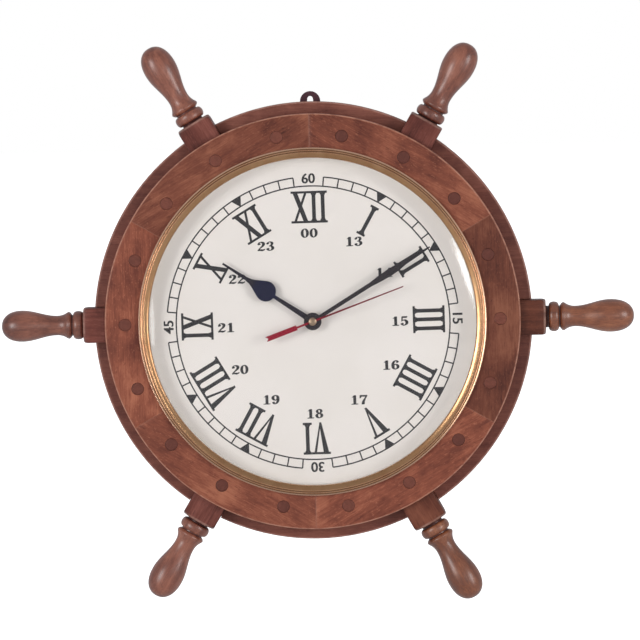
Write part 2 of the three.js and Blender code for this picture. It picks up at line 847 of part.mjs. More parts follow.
function hourHand() {
  const neckTurn = THREE.MathUtils.radToDeg(Math.acos(hourStem / 2 / hourBulbRadius));
  const side = [
    [hourRoot / 2, 0],
    ...arc(0, hourBulbAt, hourBulbRadius, -neckTurn, hourBulbTurn, 8),
    ...hourTaper.map(([x, y]) => [x * hourBulbRadius, hourBulbAt + y * hourBulbRadius]),
    [hourTipHalf, hourLength],
  ];
  return handOf(mirrored(side), hourHandLevel, bossRadius, hourPipeRadius);
}

function minuteHand() {
  const side = [
    [minuteRoot / 2, 0],
    [minuteStem / 2, minuteLeafFrom],
    ...minuteTaper.map(([x, y]) => [x * minuteLeafWidth, y * minuteLeafAt]),
    [minuteTipHalf, minuteLength],
  ];
  return handOf(mirrored(side), minuteHandLevel, bossRadius, minutePipeRadius);
}

function secondHand() {
  const half = secondTailWidth / 2;
  const outline = [
    [secondNeedle / 2, secondLength],
    [-secondNeedle / 2, secondLength],
    [-secondRoot / 2, 0],
    [-secondRoot / 2, -secondTailStart],
    [-half, -secondTailStart],
    [-half, -secondTail],
    [0, half - secondTail],
    [half, -secondTail],
    [half, -secondTailStart],
    [secondRoot / 2, -secondTailStart],
    [secondRoot / 2, 0],
  ];
  return handOf(outline, secondHandLevel, capRadius, secondShaftRadius, smallSides);
}

// The cap covers the end of the second hand's shaft
function secondCap() {
  const bottom = secondHandLevel + handThickness;
  return turned(
    [
      [0, bottom],
      [capRadius, bottom],
      [capRadius, bottom + capHeight / 2],
      [0.7 * capRadius, bottom + 0.85 * capHeight],
      [0, bottom + capHeight],
    ],
    turnedSides,
  );
}

// The wooden wheel
addPiece("back_ring", backRing(), backWood);
const dowelSolid = dowel();
for (const [i, form] of spokeForms.entries()) {
  const turn = THREE.MathUtils.degToRad(i * felloeSpan);
  const sector = new THREE.Group();
  sector.rotation.z = turn;
  clock.add(sector);
  addPiece(`felloe_${i + 1}`, felloe(form[0]), frontWood, sector);
  addPiece(`spoke_${i + 1}`, spoke(form), spokeWood, sector);
  for (const [k, degrees] of dowelTurns.entries()) {
    const name = `dowel_${i * dowelsPerFelloe + k + 1}`;
    addPiece(name, dowelSolid, dowelWood, sector).rotation.z = THREE.MathUtils.degToRad(degrees);
  }
}

// Hanging eye and its screws
addPiece("hanging_eye", hangingEye(), eyeMetal);
addPiece("eye_screw_left", eyeScrew(-1), steel);
addPiece("eye_screw_right", eyeScrew(1), steel);

// Porthole and dial
addPiece("bezel", bezel(), brass);
addPiece("glass", glass(), clearGlass);
addPiece("glass_spacer", spacer(), dialCard);
addPiece("dial", disc(glassRadius, dialTop - dialThickness, dialTop), dialCard);
addPiece("dial_board", disc(boardRadius, backRingThickness, dialTop - dialThickness), boardWood);
addPiece("dial_nut", hexNut(), brass);

// Movement
addPiece("movement_case", movementCase(), caseBlack);
addPiece("movement_cover", movementCover(), caseBlack);
addPiece("battery", battery(), batteryWrap);
addPiece("contact_negative", contact(-1), steel);
addPiece("contact_positive", contact(1), steel);
addPiece("circuit_board", circuitBoard(), circuitGreen);
addPiece("coil", coil(), copper);
addPiece("stator", stator(), steel);

// Gear train and knob, each turned piece placed on its own axis
function addTurning(name, solid, look, [x, y]) {
  addPiece(name, solid, look).position.set(x, y, 0);
}

addTurning("rotor", rotor(), gearPlastic, rotorAxis);
addTurning("fifth_wheel", fifthWheel(), gearPlastic, fifthAxis);
addTurning("second_wheel", secondWheel(), gearBrass, handsAxis);
addTurning("third_wheel", thirdWheel(), gearPlastic, thirdAxis);
addTurning("centre_wheel", centreWheel(), gearBrass, handsAxis);
addTurning("motion_wheel", motionWheel(), gearPlastic, motionAxis);
addTurning("hour_wheel", hourWheel(), gearPlastic, handsAxis);
addTurning("set_knob", setKnob(), caseBlack, motionAxis);

// Hands
function addHand(name, solid, look, degrees) {
  addPiece(name, solid, look).rotation.z = -THREE.MathUtils.degToRad(degrees);
}

addHand("hour_hand", hourHand(), handBlack, hourAngle);
addHand("minute_hand", minuteHand(), handBlack, minuteAngle);
addHand("second_hand", secondHand(), handRed, secondAngle);
addHand("second_hand_cap", secondCap(), copper, secondAngle);

// Stand the clock up, with the hanging eye at the origin
clock.rotation.x = Math.PI / 2;
clock.position.z = -(backRingOuter + eyeSlotRise);
const part = new THREE.Group();
part.add(clock);

export default part;
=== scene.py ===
# Visual model of the ships wheel clock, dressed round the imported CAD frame.
# Lengths are in millimetres and drawn facing +Z round the wheel's centre, with the wall at z = 0.
# WHEEL stands them up in the row frame, in metres.
import functools
import math

import bmesh
import bpy
import numpy as np
from mathutils import Matrix, Vector, geometry


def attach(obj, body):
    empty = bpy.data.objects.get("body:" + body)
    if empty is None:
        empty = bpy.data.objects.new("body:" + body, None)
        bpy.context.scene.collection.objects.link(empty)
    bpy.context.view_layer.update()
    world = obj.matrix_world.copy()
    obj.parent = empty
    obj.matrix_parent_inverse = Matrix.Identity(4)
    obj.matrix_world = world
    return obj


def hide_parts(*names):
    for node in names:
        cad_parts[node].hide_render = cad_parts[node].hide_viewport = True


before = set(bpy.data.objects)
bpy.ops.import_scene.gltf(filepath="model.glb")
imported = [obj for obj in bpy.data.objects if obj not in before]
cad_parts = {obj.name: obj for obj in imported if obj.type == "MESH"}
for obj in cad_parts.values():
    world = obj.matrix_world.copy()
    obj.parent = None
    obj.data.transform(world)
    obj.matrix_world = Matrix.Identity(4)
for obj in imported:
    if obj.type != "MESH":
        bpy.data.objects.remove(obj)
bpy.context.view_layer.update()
scene = bpy.context.scene
scene.view_settings.view_transform = "Standard"

MM = 0.001
HUB_DROP = 157.8
WHEEL = Matrix.Translation((0, 0, -HUB_DROP * MM)) @ Matrix.Rotation(math.pi / 2, 4, "X")

# Sizes that the CAD model has too. FACE, FRONT, TOP, LEVEL and the dowels' foot are heights above
# the wall, and HOUSING and SQUARE are half widths. ROOT_END, EYE_FOOT and KEYHOLE_AT are
# distances from the hub
SPOKES = 6
FRONT_BORE = 119.5
FRONT_RIM = 147.5
BACK_RIM = 156
BACK_BORE = 112
FRONT_FACE = 44
BACK_FACE = 26
HOUSING = 12.7
ROOT_END = 121
SQUARE = 12.4
DOWEL_CIRCLE = 133
DOWEL_RADIUS = 4.5
DOWEL_FOOT = 18
EYE_WIDTH = 14.6
EYE_FOOT = 130
EYE_FRONT = 3
KEYHOLE_RADIUS = 4
KEYHOLE_AT = 149
DIAL_TOP = 33
GLASS_RADIUS = 117.5
GLASS_DOME = 115.5
GLASS_TOP = 42.4
GLASS_RISE = 8
GLASS_THICKNESS = 2
CAP_LEVEL = 41.4
CAP_RADIUS = 2.9
CAP_HEIGHT = 1.6

# For each spoke: its turn off the even spacing in degrees, the end of its block, the middle of
# its bead and its tip, its girth, and how light the handle and the block are
SPOKE_FORMS = [
    (0, 165.4, 171.1, 228.1, 1.02, 1.12, 0.8),
    (-0.7, 164.3, 168.7, 225.6, 1.02, 1.04, 1.08),
    (0.2, 164.5, 169.4, 226.1, 1.02, 1.08, 1.08),
    (0.1, 163.6, 167.5, 222.3, 0.975, 0.88, 1.4),
    (-0.9, 164.8, 170.0, 226.7, 1.02, 1.04, 1.0),
    (-0.7, 166.6, 172.1, 228.3, 1.02, 1.04, 0.95),
]


# From the middle of the clock towards a place in the room. Azimuth 0 is straight in front
def unit(azimuth, elevation):
    a, e = math.radians(azimuth), math.radians(elevation)
    return Vector((math.sin(a) * math.cos(e), -math.cos(a) * math.cos(e), math.sin(e)))


# Camera, at the photograph's angle. Angles are in degrees and its distance is in metres
CAMERA_TARGET = Vector((5.1 * MM, -35 * MM, -157.05 * MM))
CAMERA_AZIMUTH = 1.8
CAMERA_ELEVATION = 2.8
CAMERA_ROLL = 1.1
CAMERA_DISTANCE = 3.2
CAMERA_LENS = 253.5


def add_camera():
    back = unit(CAMERA_AZIMUTH, CAMERA_ELEVATION)
    right = Vector((0, 0, 1)).cross(back).normalized()
    up = back.cross(right)
    roll = math.radians(CAMERA_ROLL)
    tilted_up = up * math.cos(roll) + right * math.sin(roll)
    tilted_right = right * math.cos(roll) - up * math.sin(roll)
    turn = Matrix((tilted_right, tilted_up, back)).transposed().to_4x4()
    camera = bpy.data.objects.new("camera", bpy.data.cameras.new("camera"))
    camera.data.sensor_width = 36
    camera.data.lens = CAMERA_LENS
    camera.data.clip_end = 100
    camera.matrix_world = Matrix.Translation(CAMERA_TARGET + back * CAMERA_DISTANCE) @ turn
    scene.collection.objects.link(camera)
    scene.camera = camera


add_camera()


# Colours: 0 to 255 as seen on a screen, to linear light
def tone(red, green, blue):
    def linear(value):
        share = value / 255
        return share / 12.92 if share <= 0.04045 else ((share + 0.055) / 1.055) ** 2.4

    return linear(red), linear(green), linear(blue), 1


# The wheel's frame, turned about its axis, in the row frame
def turned_wheel(degrees):
    return WHEEL @ Matrix.Rotation(math.radians(degrees), 4, "Z")


# A material's node tree, with short calls for the nodes that it uses. With a turn, its
# coordinates are those of a piece drawn in the wheel's frame and turned by that many degrees.
class Look:
    def __init__(self, name, turn=None):
        self.material = bpy.data.materials.new(name)
        self.material.use_nodes = True
        self.tree = self.material.node_tree
        self.shader = self.tree.nodes["Principled BSDF"]
        self.here = self.node("TexCoord").outputs["Object"]
        if turn is not None:
            back = turned_wheel(turn).inverted()
            place = self.node("Mapping", {"vector_type": "POINT"}, Vector=self.here)
            place.inputs["Location"].default_value = back.translation
            place.inputs["Rotation"].default_value = back.to_euler("XYZ")
            self.here = place.outputs[0]

    # A node whose inputs are fed in their order, by name or both
    def node(self, kind, settings=None, *values, **inputs):
        made = self.tree.nodes.new("ShaderNode" + kind)
        for key, value in (settings or {}).items():
            setattr(made, key, value)
        for socket, value in zip(made.inputs, values):
            self.feed(socket, value)
        for key, value in inputs.items():
            self.feed(made.inputs[key], value)
        return made

    def feed(self, socket, value):
        if isinstance(value, bpy.types.NodeSocket):
            self.tree.links.new(value, socket)
        else:
            socket.default_value = value

    def set(self, **inputs):
        for key, value in inputs.items():
            self.feed(self.shader.inputs[key.replace("_", " ")], value)

    # A number for each point that wanders between 0 and 1. Sizes are those of its features, in
    # mm, one for each axis or one for all
    def noise(self, sizes, seed=0.0, detail=2.0, rough=0.5, bend=0.0):
        if not isinstance(sizes, (list, tuple)):
            sizes = [sizes] * 3
        place = self.vector("MULTIPLY", self.here, [1 / (size * MM) for size in sizes])[0]
        inputs = {"W": seed, "Scale": 1, "Detail": detail, "Roughness": rough, "Distortion": bend}
        texture = self.node("TexNoise", {"noise_dimensions": "4D"}, Vector=place, **inputs)
        return texture.outputs["Fac"]

    # A number that goes smoothly from start to end while the value goes from low to high
    def span(self, value, low, high, start=0.0, end=1.0):
        limits = {"From Min": low, "From Max": high, "To Min": start, "To Max": end}
        made = self.node("MapRange", {"interpolation_type": "SMOOTHSTEP"}, Value=value, **limits)
        return made.outputs[0]

    def math(self, operation, *values):
        return self.node("Math", {"operation": operation}, *values).outputs[0]

    def vector(self, operation, *values):
        return self.node("VectorMath", {"operation": operation}, *values).outputs

    def times(self, first, second):
        return self.math("MULTIPLY", first, second)

    def total(self, *parts):
        products = [self.times(value, weight) for value, weight in parts]
        return functools.reduce(lambda first, second: self.math("ADD", first, second), products)

    # How far a value is from a number, either way
    def away(self, value, middle):
        return self.math("ABSOLUTE", self.math("SUBTRACT", value, middle))

    def ramp(self, value, *stops):
        made = self.node("ValToRGB", Fac=value)
        elements = made.color_ramp.elements
        while len(elements) < len(stops):
            elements.new(0.5)
        for element, (position, color) in zip(elements, stops):
            element.position = position
            element.color = color
        return made.outputs[0]

    def mix(self, share, first, second, blend="MIX"):
        made = self.node("Mix", {"data_type": "RGBA", "blend_type": blend})
        self.feed(made.inputs[0], share)
        self.feed(made.inputs[6], first)
        self.feed(made.inputs[7], second)
        return made.outputs[2]

    def axes(self):
        return self.node("SeparateXYZ", Vector=self.here).outputs

    # Distance from the piece's own Z axis
    def radius(self):
        flat = self.vector("MULTIPLY", self.here, (1, 1, 0))[0]
        return self.vector("LENGTH", flat)["Value"]

    # For a CAD node, how far a point is from the hub at a depth
    def from_hub(self, depth):
        hub = 0, -depth * MM, -HUB_DROP * MM
        return self.vector("DISTANCE", self.here, hub)["Value"]

    def bump(self, height, strength, distance):
        made = self.node("Bump", Height=height, Strength=strength, Distance=distance * MM)
        self.set(Normal=made.outputs[0])


# Varnished wood with its grain along one of the piece's own axes. Colours go from dark to light
# and mottle, 0 to 1, says how patchy they are. Worn gives the mask and colour of the worn wood,
# and stain recolours part of the piece, with real stain and painted shade on the spokes
def wood(name, colors, along, seed, turn, gloss, coat, mottle, worn, stain=None):
    look = Look(name, turn)
    dark, middle, light = colors

    def sizes(across, down):
        return [down if axis == along else across for axis in "xyz"]

    streaks = look.noise(sizes(7, 75), seed, 4, 0.6, 0.9)
    fibres = look.noise(sizes(0.7, 16), seed + 3.1, 3, 0.65)
    blotches = look.noise(38, seed + 7.7, 3, 0.55, 0.4)
    patches = look.noise(sizes(6, 12), seed + 21, 5, 0.7, 0.7)
    share = 0.22 * mottle
    value = look.total((streaks, 0.42 - share), (fibres, 0.2), (blotches, 0.38), (patches, share))
    reach = 0.14 - 0.045 * mottle
    color = look.ramp(value, (0.5 - reach, dark), (0.5, middle), (0.5 + reach, light))
    flecks = look.span(look.noise(sizes(0.9, 5), seed + 11, 2, 0.6), 0.6, 0.72)
    color = look.mix(look.times(flecks, 0.4), color, dark, "MULTIPLY")
    motes = look.span(look.noise(sizes(0.9, 2.4), seed + 31, 2, 0.6), 0.57, 0.7)
    color = look.mix(look.times(motes, 0.12 + 0.45 * mottle), color, light)
    if stain:
        color = stain(look, color)
    mask, pale = worn(look)
    chips = look.span(look.noise(4, seed + 5, 3), 0.3, 0.62, 0.35, 1)
    color = look.mix(look.times(mask, chips), color, pale)
    look.set(Base_Color=color, Coat_Weight=coat(look) if callable(coat) else coat)
    look.set(Coat_Roughness=0.32, Specular_IOR_Level=0.22)
    look.set(Roughness=look.span(blotches, 0.3, 0.7, gloss - 0.06, gloss + 0.09))
    height = look.math("SUBTRACT", fibres, look.times(flecks, 1.5))
    look.bump(height, 0.14, 0.12)
    return look.material


# Paint, metal or plastic with faint stains and a fine grain. Grain is the grain's size and
# depth its height, both in mm
def plain(name, color, rough, metal=0.0, grain=0.3, stain=0.12, depth=0.02, shine=0.5):
    look = Look(name)
    stains = look.noise(9, len(name), 4, 0.6)
    shade = [part * (1 - stain) for part in color[:3]] + [1]
    look.set(Base_Color=look.mix(look.span(stains, 0.35, 0.7), color, shade), Metallic=metal)
    speckle = look.noise(grain, 2.5, 2, 0.6)
    look.set(Roughness=look.span(speckle, 0.2, 0.8, rough - 0.06, rough + 0.08))
    look.set(Specular_IOR_Level=shine)
    look.bump(speckle, 0.3, depth)
    return look.material


# Points and faces from loops of points, all of one length, joined in order and closed at the
# ends, or into a ring
def loft(loops, ring=False):
    size = len(loops[0])
    points = [point for loop in loops for point in loop]
    faces = []
    for i in range(len(loops) if ring else len(loops) - 1):
        this, after = i * size, (i + 1) % len(loops) * size
        for j in range(size):
            k = (j + 1) % size
            faces.append((this + j, this + k, after + k, after + j))
    if not ring:
        faces.append(tuple(range(size)))
        faces.append(tuple(range(len(points) - size, len(points))))
    return points, faces


def polar(radius, degrees, level=0.0):
    angle = math.radians(degrees)
    return radius * math.cos(angle), radius * math.sin(angle), level


# A closed profile of radius and level, turned round the wheel's axis
def turned(profile, steps):
    loops = [[polar(r, 360 * i / steps, z) for r, z in profile] for i in range(steps)]
    return loft(loops, ring=True)


# A smooth shaded mesh whose edges are sharp from an angle on, in degrees
def make_mesh(name, points, faces, sharp=35):
    mesh = bpy.data.meshes.new(name)
    mesh.from_pydata([[value * MM for value in point] for point in points], [], faces)
    solid = bmesh.new()
    solid.from_mesh(mesh)
    bmesh.ops.remove_doubles(solid, verts=solid.verts, dist=1e-7)
    bmesh.ops.dissolve_degenerate(solid, edges=solid.edges, dist=1e-8)
    loose = [point for point in solid.verts if not point.link_faces]
    bmesh.ops.delete(solid, geom=loose, context="VERTS")
    bmesh.ops.recalc_face_normals(solid, faces=solid.faces)
    solid.to_mesh(mesh)
    solid.free()
    shade(mesh, sharp)
    return mesh


def shade(mesh, sharp):
    mesh.shade_smooth()
    mesh.set_sharp_from_angle(angle=math.radians(sharp))


# A piece in the wheel's frame, turned about its axis, that stands for a CAD node
def add_piece(name, mesh, material, body, turn=0.0, node=None):
    mesh.materials.clear()
    mesh.materials.append(material)
    mesh.transform(turned_wheel(turn))
    piece = bpy.data.objects.new(name, mesh)
    scene.collection.objects.link(piece)
    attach(piece, body)
    if node:
        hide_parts(node)


# The mesh with the space of other meshes cut out of it
def cut(mesh, cutters, sharp=35):
    whole = bpy.data.objects.new("cut", mesh)
    scene.collection.objects.link(whole)
    tools = []
    for cutter in cutters:
        tool = bpy.data.objects.new("tool", cutter)
        scene.collection.objects.link(tool)
        change = whole.modifiers.new("cut", "BOOLEAN")
        change.operation, change.solver, change.object = "DIFFERENCE", "EXACT", tool
        tools.append(tool)
    bpy.context.view_layer.update()
    graph = bpy.context.evaluated_depsgraph_get()
    result = bpy.data.meshes.new_from_object(whole.evaluated_get(graph))
    for item in [whole, *tools]:
        bpy.data.objects.remove(item)
    shade(result, sharp)
    return result


def rectangle(x0, y0, x1, y1):
    return [(x0, y0), (x1, y0), (x1, y1), (x0, y1)]


def box_mesh(x0, x1, y0, y1, z0, z1):
    loops = [[(x, y, z) for x, y in rectangle(x0, y0, x1, y1)] for z in (z0, z1)]
    return make_mesh("box", *loft(loops))


def rod_mesh(x, y, radius, z0, z1, sides=40):
    loops = []
    for level in (z0, z1):
        ends = [polar(radius, 360 * i / sides) for i in range(sides)]
        loops.append([(x + a, y + b, level) for a, b, _ in ends])
    return make_mesh("rod", *loft(loops))


# A closed outline from corners, each x, y and the radius that rounds it
def rounded(corners, steps=5):
    outline = []
    for i, (x, y, radius) in enumerate(corners):
        here = Vector((x, y))
        before = (Vector(corners[i - 1][:2]) - here).normalized()
        after = (Vector(corners[(i + 1) % len(corners)][:2]) - here).normalized()
        half = before.angle(after) / 2
        reach = radius / math.tan(half)
        start, end = here + before * reach, here + after * reach
        middle = here + (before + after).normalized() * (radius / math.sin(half))
        for k in range(steps + 1):
            share = k / steps
            arm = (start - middle).lerp(end - middle, share).normalized() * radius
            outline.append(tuple(middle + arm))
    return outline


# Wood of the front ring, with how light each felloe is, from the one at three o'clock on
FRONT_COLORS = tone(90, 44, 33), tone(124, 67, 49), tone(156, 95, 71)
FELLOE_LIFTS = [0.69, 1.05, 0.86, 1.22, 1.09, 1.2]
JOINT_ANGLE = math.radians(180 / SPOKES)


# Paler wood along the front ring's worn rim and at its joints
def front_wear(look):
    axes = look.axes()
    far = look.span(look.radius(), (FRONT_RIM - 1.3) * MM, (FRONT_RIM - 0.5) * MM)
    high = look.span(axes[2], (FRONT_FACE - 1.5) * MM, (FRONT_FACE - 0.7) * MM)
    across = look.times(look.math("ABSOLUTE", axes[1]), math.cos(JOINT_ANGLE))
    along = look.times(axes[0], math.sin(JOINT_ANGLE))
    joint = look.span(look.math("SUBTRACT", along, across), 0.3 * MM, 0.8 * MM, 0.2, 0)
    mask = look.math("MAXIMUM", look.times(far, high), joint)
    return mask, tone(184, 130, 108)


# The housing for a spoke's root, turned as the spoke is
def housing(degrees):
    low, high = BACK_FACE - HOUSING, BACK_FACE + HOUSING
    room = box_mesh(ROOT_END - 0.3, BACK_RIM + 4, -HOUSING, HOUSING, low, high)
    room.transform(Matrix.Rotation(math.radians(degrees), 4, "Z"))
    return room


def dowel_hole(degrees):
    x, y, _ = polar(DOWEL_CIRCLE, degrees)
    return rod_mesh(x, y, DOWEL_RADIUS, DOWEL_FOOT - 0.2, FRONT_FACE + 2)


# A felloe's joint faces stand back a little, and its last loops are shrunk so that the joint
# shows as a fine groove
JOINT_GAP = 0.03
JOINT_SHRINK = 0.06
JOINT_STATION = 0.9985
FELLOE_STEPS = 48


def felloe_mesh(spoke_turn):
    middle = (FRONT_BORE + FRONT_RIM) / 2, (BACK_FACE + FRONT_FACE) / 2
    corners = [(FRONT_BORE, BACK_FACE, 0.2), (FRONT_RIM, BACK_FACE, 0.2)]
    corners += [(FRONT_RIM, FRONT_FACE, 1.5), (FRONT_BORE, FRONT_FACE, 0.5)]
    section = rounded(corners)
    half = 180 / SPOKES
    inner = [2 * i / FELLOE_STEPS - 1 for i in range(1, FELLOE_STEPS)]
    stations = [-1, -JOINT_STATION, *inner, JOINT_STATION, 1]
    loops = []
    for station in stations:
        shrink = JOINT_SHRINK if abs(station) == 1 else 0
        loop = []
        for r, z in section:
            r -= shrink * (1 if r > middle[0] else -1)
            z -= shrink * (1 if z > middle[1] else -1)
            gap = math.degrees(JOINT_GAP / r)
            loop.append(polar(r, station * (half - gap), z))
        loops.append(loop)
    solid = make_mesh("felloe", *loft(loops))
    return cut(solid, [housing(spoke_turn), *map(dowel_hole, (-20, 0, 20))])


def add_felloes():
    for i, lift in enumerate(FELLOE_LIFTS):
        colors = [(r * lift, g * lift, b * lift, 1) for r, g, b, _ in FRONT_COLORS]
        turn = 60 * i
        name = f"front_wood_{i + 1}"
        material = wood(name, colors, "y", 4.7 * i + 1, turn, 0.5, 0.04, 1, front_wear)
        mesh = felloe_mesh(SPOKE_FORMS[i][0])
        name = f"felloe_{i + 1}"
        add_piece(name + "_shaped", mesh, material, "wheel", turn, name)


# Back ring: one turned board with its edges eased, cut out for the spokes' roots, the dowels,
# the hanging eye and its screws
def back_ring_mesh():
    corners = [(BACK_BORE, 0, 0.4), (BACK_RIM, 0, 1.2)]
    corners += [(BACK_RIM, BACK_FACE, 1.6), (BACK_BORE, BACK_FACE, 0.4)]
    ring = make_mesh("back_ring", *turned(rounded(corners), 240))
    cutters = []
    for i, form in enumerate(SPOKE_FORMS):
        cutters.append(housing(60 * i + form[0]))
        cutters += [dowel_hole(60 * i + step) for step in (-20, 20)]
    half, side = EYE_WIDTH / 2 + 0.3, KEYHOLE_RADIUS + 0.3
    cutters.append(box_mesh(-half, half, EYE_FOOT - 0.3, BACK_RIM + 8, -1, EYE_FRONT))
    cutters.append(box_mesh(-side, side, KEYHOLE_AT - side, BACK_RIM + 9, -2, EYE_FRONT + 5))
    cutters += [rod_mesh(x, BACK_RIM - 20, 1.6, -3, 13.8, 24) for x in (-3.8, 3.8)]
    return cut(ring, cutters)


# Paler wood where the back ring's rim is worn
def back_wear(look):
    far = look.span(look.radius(), (BACK_RIM - 1.5) * MM, (BACK_RIM - 0.7) * MM)
    high = look.span(look.axes()[2], (BACK_FACE - 1.4) * MM, (BACK_FACE - 0.7) * MM)
    return look.times(look.times(far, high), 0.75), tone(176, 132, 118)


BACK_COLORS = tone(90, 46, 39), tone(117, 67, 55), tone(144, 89, 74)


def add_back_ring():
    material = wood("back_ring_wood", BACK_COLORS, "x", 91, 0, 0.5, 0.05, 0.6, back_wear)
    mesh = back_ring_mesh()
    add_piece("back_ring_turned", mesh, material, "wheel", 0, "back_ring")


# A spoke's loops run out along +X: a square root and block, then the turned handle. The angles
# are closer together at the corners of the square, which are rounded
def square_angles():
    angles = []
    for side in range(4):
        angles += [90 * side - 42 + 7 * i for i in range(13)]
        angles += [90 * side + 43.4 + 0.8 * i for i in range(5)]
    return angles


SQUARE_ANGLES = square_angles()
CORNER = 0.9


def square_reach(degrees, half):
    u = Vector([abs(part) for part in polar(1, degrees)[:2]])
    flat = half / max(u)
    if flat * min(u) <= half - CORNER:
        return flat
    p = Vector((half - CORNER, half - CORNER))
    ahead = p.dot(u)
    return ahead + math.sqrt(max(0, ahead**2 - p.length_squared + CORNER**2))


def spoke_loop(x, reach):
    loop = []
    for degrees in SQUARE_ANGLES:
        radius = reach(degrees)
        y, z, _ = polar(radius, degrees)
        loop.append((x(radius) if callable(x) else x, y, BACK_FACE + z))
    return loop


def ease(low, high, share):
    return low + (high - low) * (1 - math.cos(math.pi * share)) / 2


# The handle's radii at its neck, bead, groove, collar, waist and bulb, then lengths along it and
# how round its end is
HANDLE_RADII = 7.6, 10.45, 7.6, 9.95, 7.2, 11.45
BEAD_HALF = 3.6
CREST_AHEAD = 6.9
COLLAR_RISE = 2.5
WAIST_AHEAD = 8.2
BULB_AHEAD = 25
END_POWER = 2 / 2.25


def handle_profile(start, middle, tip, girth):
    neck, bead, groove, collar, waist, bulb = [radius * girth for radius in HANDLE_RADII]
    profile = [(start, 11.6), (start + 0.05, neck + 0.4), (start + 0.2, neck)]
    for i in range(17):
        angle = math.pi * i / 16
        swell = math.sin(angle) ** 0.75
        profile.append((middle - BEAD_HALF * math.cos(angle), neck + (bead - neck) * swell))
    crest = middle + CREST_AHEAD
    profile.append((middle + BEAD_HALF + 0.15, groove))
    profile.append((crest - COLLAR_RISE, groove))
    for i in range(1, 9):
        share = i / 8
        swell = math.sin(share * math.pi / 2) ** 0.8
        along = crest - COLLAR_RISE + COLLAR_RISE * share
        profile.append((along, groove + (collar - groove) * swell))
    for i in range(1, 15):
        share = i / 14
        along = crest + 0.4 + (WAIST_AHEAD - 0.4) * share
        profile.append((along, waist + (collar - waist) * (1 - share) ** 2.2))
    low = crest + WAIST_AHEAD
    for i in range(1, 25):
        profile.append((low + BULB_AHEAD * i / 24, ease(waist, bulb, i / 24)))
    top = low + BULB_AHEAD
    for i in range(1, 25):
        angle = math.pi / 2 * i / 24
        along = top + (tip - top) * math.sin(angle) ** END_POWER
        profile.append((along, max(bulb * math.cos(angle) ** END_POWER, 0.02)))
    return profile


# The block's end is a shoulder that falls away to its corners
def spoke_mesh(degrees, block_end, bead, tip, girth):
    corner = square_reach(45, SQUARE)

    def shoulder(radius):
        share = max(0, (radius - SQUARE) / (corner - SQUARE))
        return block_end - 0.35 - 2.4 * share**1.4

    def square(shrink):
        return lambda degrees: square_reach(degrees, SQUARE - shrink)

    loops = [spoke_loop(ROOT_END, square(0.3)), spoke_loop(ROOT_END + 0.3, square(0))]
    for along in (130, 140, 147, 152, 156, 158):
        loops.append(spoke_loop(along, square(0)))
    for ahead, shrink in ((-0.6, 0), (-0.15, 0.12), (0.1, 0.45), (0.25, 1.2)):
        loops.append(spoke_loop(lambda r, ahead=ahead: shoulder(r) + ahead, square(shrink)))
    for x, radius in handle_profile(block_end, bead, tip, girth):
        loops.append(spoke_loop(x, lambda _, radius=radius: radius))
    return cut(make_mesh("spoke", *loft(loops), sharp=40), [dowel_hole(-degrees)], 40)


SPOKE_COLORS = tone(76, 36, 27), tone(120, 67, 50), tone(160, 100, 78)
WARM_SPOKES = 0, 5
WARM_BLUE = 0.74
BLOCK_STAIN = tone(212, 202, 222)
# Colour multiplied in for the painted shade of the neck and the groove
GROOVE_SHADE = tone(165, 108, 92)


# Paler wood where the end of the block is worn
def block_wear(end):
    def wear(look):
        x = look.axes()[0]
        before = look.span(x, (end - 2.2) * MM, (end - 0.9) * MM)
        after = look.span(x, (end - 0.1) * MM, (end + 0.1) * MM, 1, 0)
        return look.times(look.times(before, after), 0.6), tone(168, 132, 118)

    return wear


# The square block took more stain than the handle, and the neck and the groove get painted shade
def block_stain_and_groove_shade(end, bead, block):
    def stain(look, color):
        x = look.axes()[0]
        share = look.span(x, (end + 0.5) * MM, (end + 3) * MM, 1, 0)
        tint = [part * block for part in BLOCK_STAIN[:3]] + [1]
        color = look.mix(share, color, tint, "MULTIPLY")
        # Painted shade over the neck and over the groove between the bead and the collar
        for low, high in ((end, bead - 3.2), (bead + 3.3, bead + 4.9)):
            past = look.span(x, (low - 0.1) * MM, (low + 0.4) * MM)
            short = look.span(x, (high - 0.5) * MM, (high + 0.3) * MM, 1, 0)
            inside = look.times(look.times(past, short), 0.9)
            color = look.mix(inside, color, GROOVE_SHADE, "MULTIPLY")
        return color

    return stain


# The handle is varnished and the block is nearly bare
def handle_varnish(end):
    return lambda look: look.span(look.axes()[0], (end + 0.5) * MM, (end + 3) * MM, 0.04, 1)


def add_spokes():
    for i, (off, end, bead, tip, girth, lift, block) in enumerate(SPOKE_FORMS):
        blue = lift * (WARM_BLUE if i in WARM_SPOKES else 1)
        colors = [(r * lift, g * lift, b * blue, 1) for r, g, b, _ in SPOKE_COLORS]
        turn = 60 * i + off
        coat, wear, stain = handle_varnish(end), block_wear(end), block_stain_and_groove_shade(end, bead, block)
        name = f"spoke_wood_{i + 1}"
        material = wood(name, colors, "x", 2.9 * i + 40, turn, 0.4, coat, 0.4, wear, stain)
        mesh = spoke_mesh(off, end, bead, tip, girth)
        name = f"spoke_{i + 1}"
        add_piece(name + "_shaped", mesh, material, "wheel", turn, name)


# Dowels: end grain, a little out of round and a little below the ring's face
def dowel_mesh(seed):
    sides = 40

    def loop(radius, level):
        points = []
        for i in range(sides):
            angle = 2 * math.pi * i / sides
            wobble = 0.012 * math.sin(2 * angle + seed) + 0.01 * math.sin(3 * angle + 2.1 * seed)
            r = radius * (1 + wobble)
            points.append((DOWEL_CIRCLE + r * math.cos(angle), r * math.sin(angle), level))
        return points

    sink = 0.05 * math.sin(5 * seed)
    top = FRONT_FACE - 0.08 + sink
    foot = DOWEL_FOOT
    rows = [(4.2, foot), (4.38, foot + 0.3), (4.38, top - 0.2), (4.26, top - 0.05)]
    rows += [(3.2, top), (0.4, top + 0.02)]
    return make_mesh("dowel", *loft([loop(*row) for row in rows]), sharp=50)


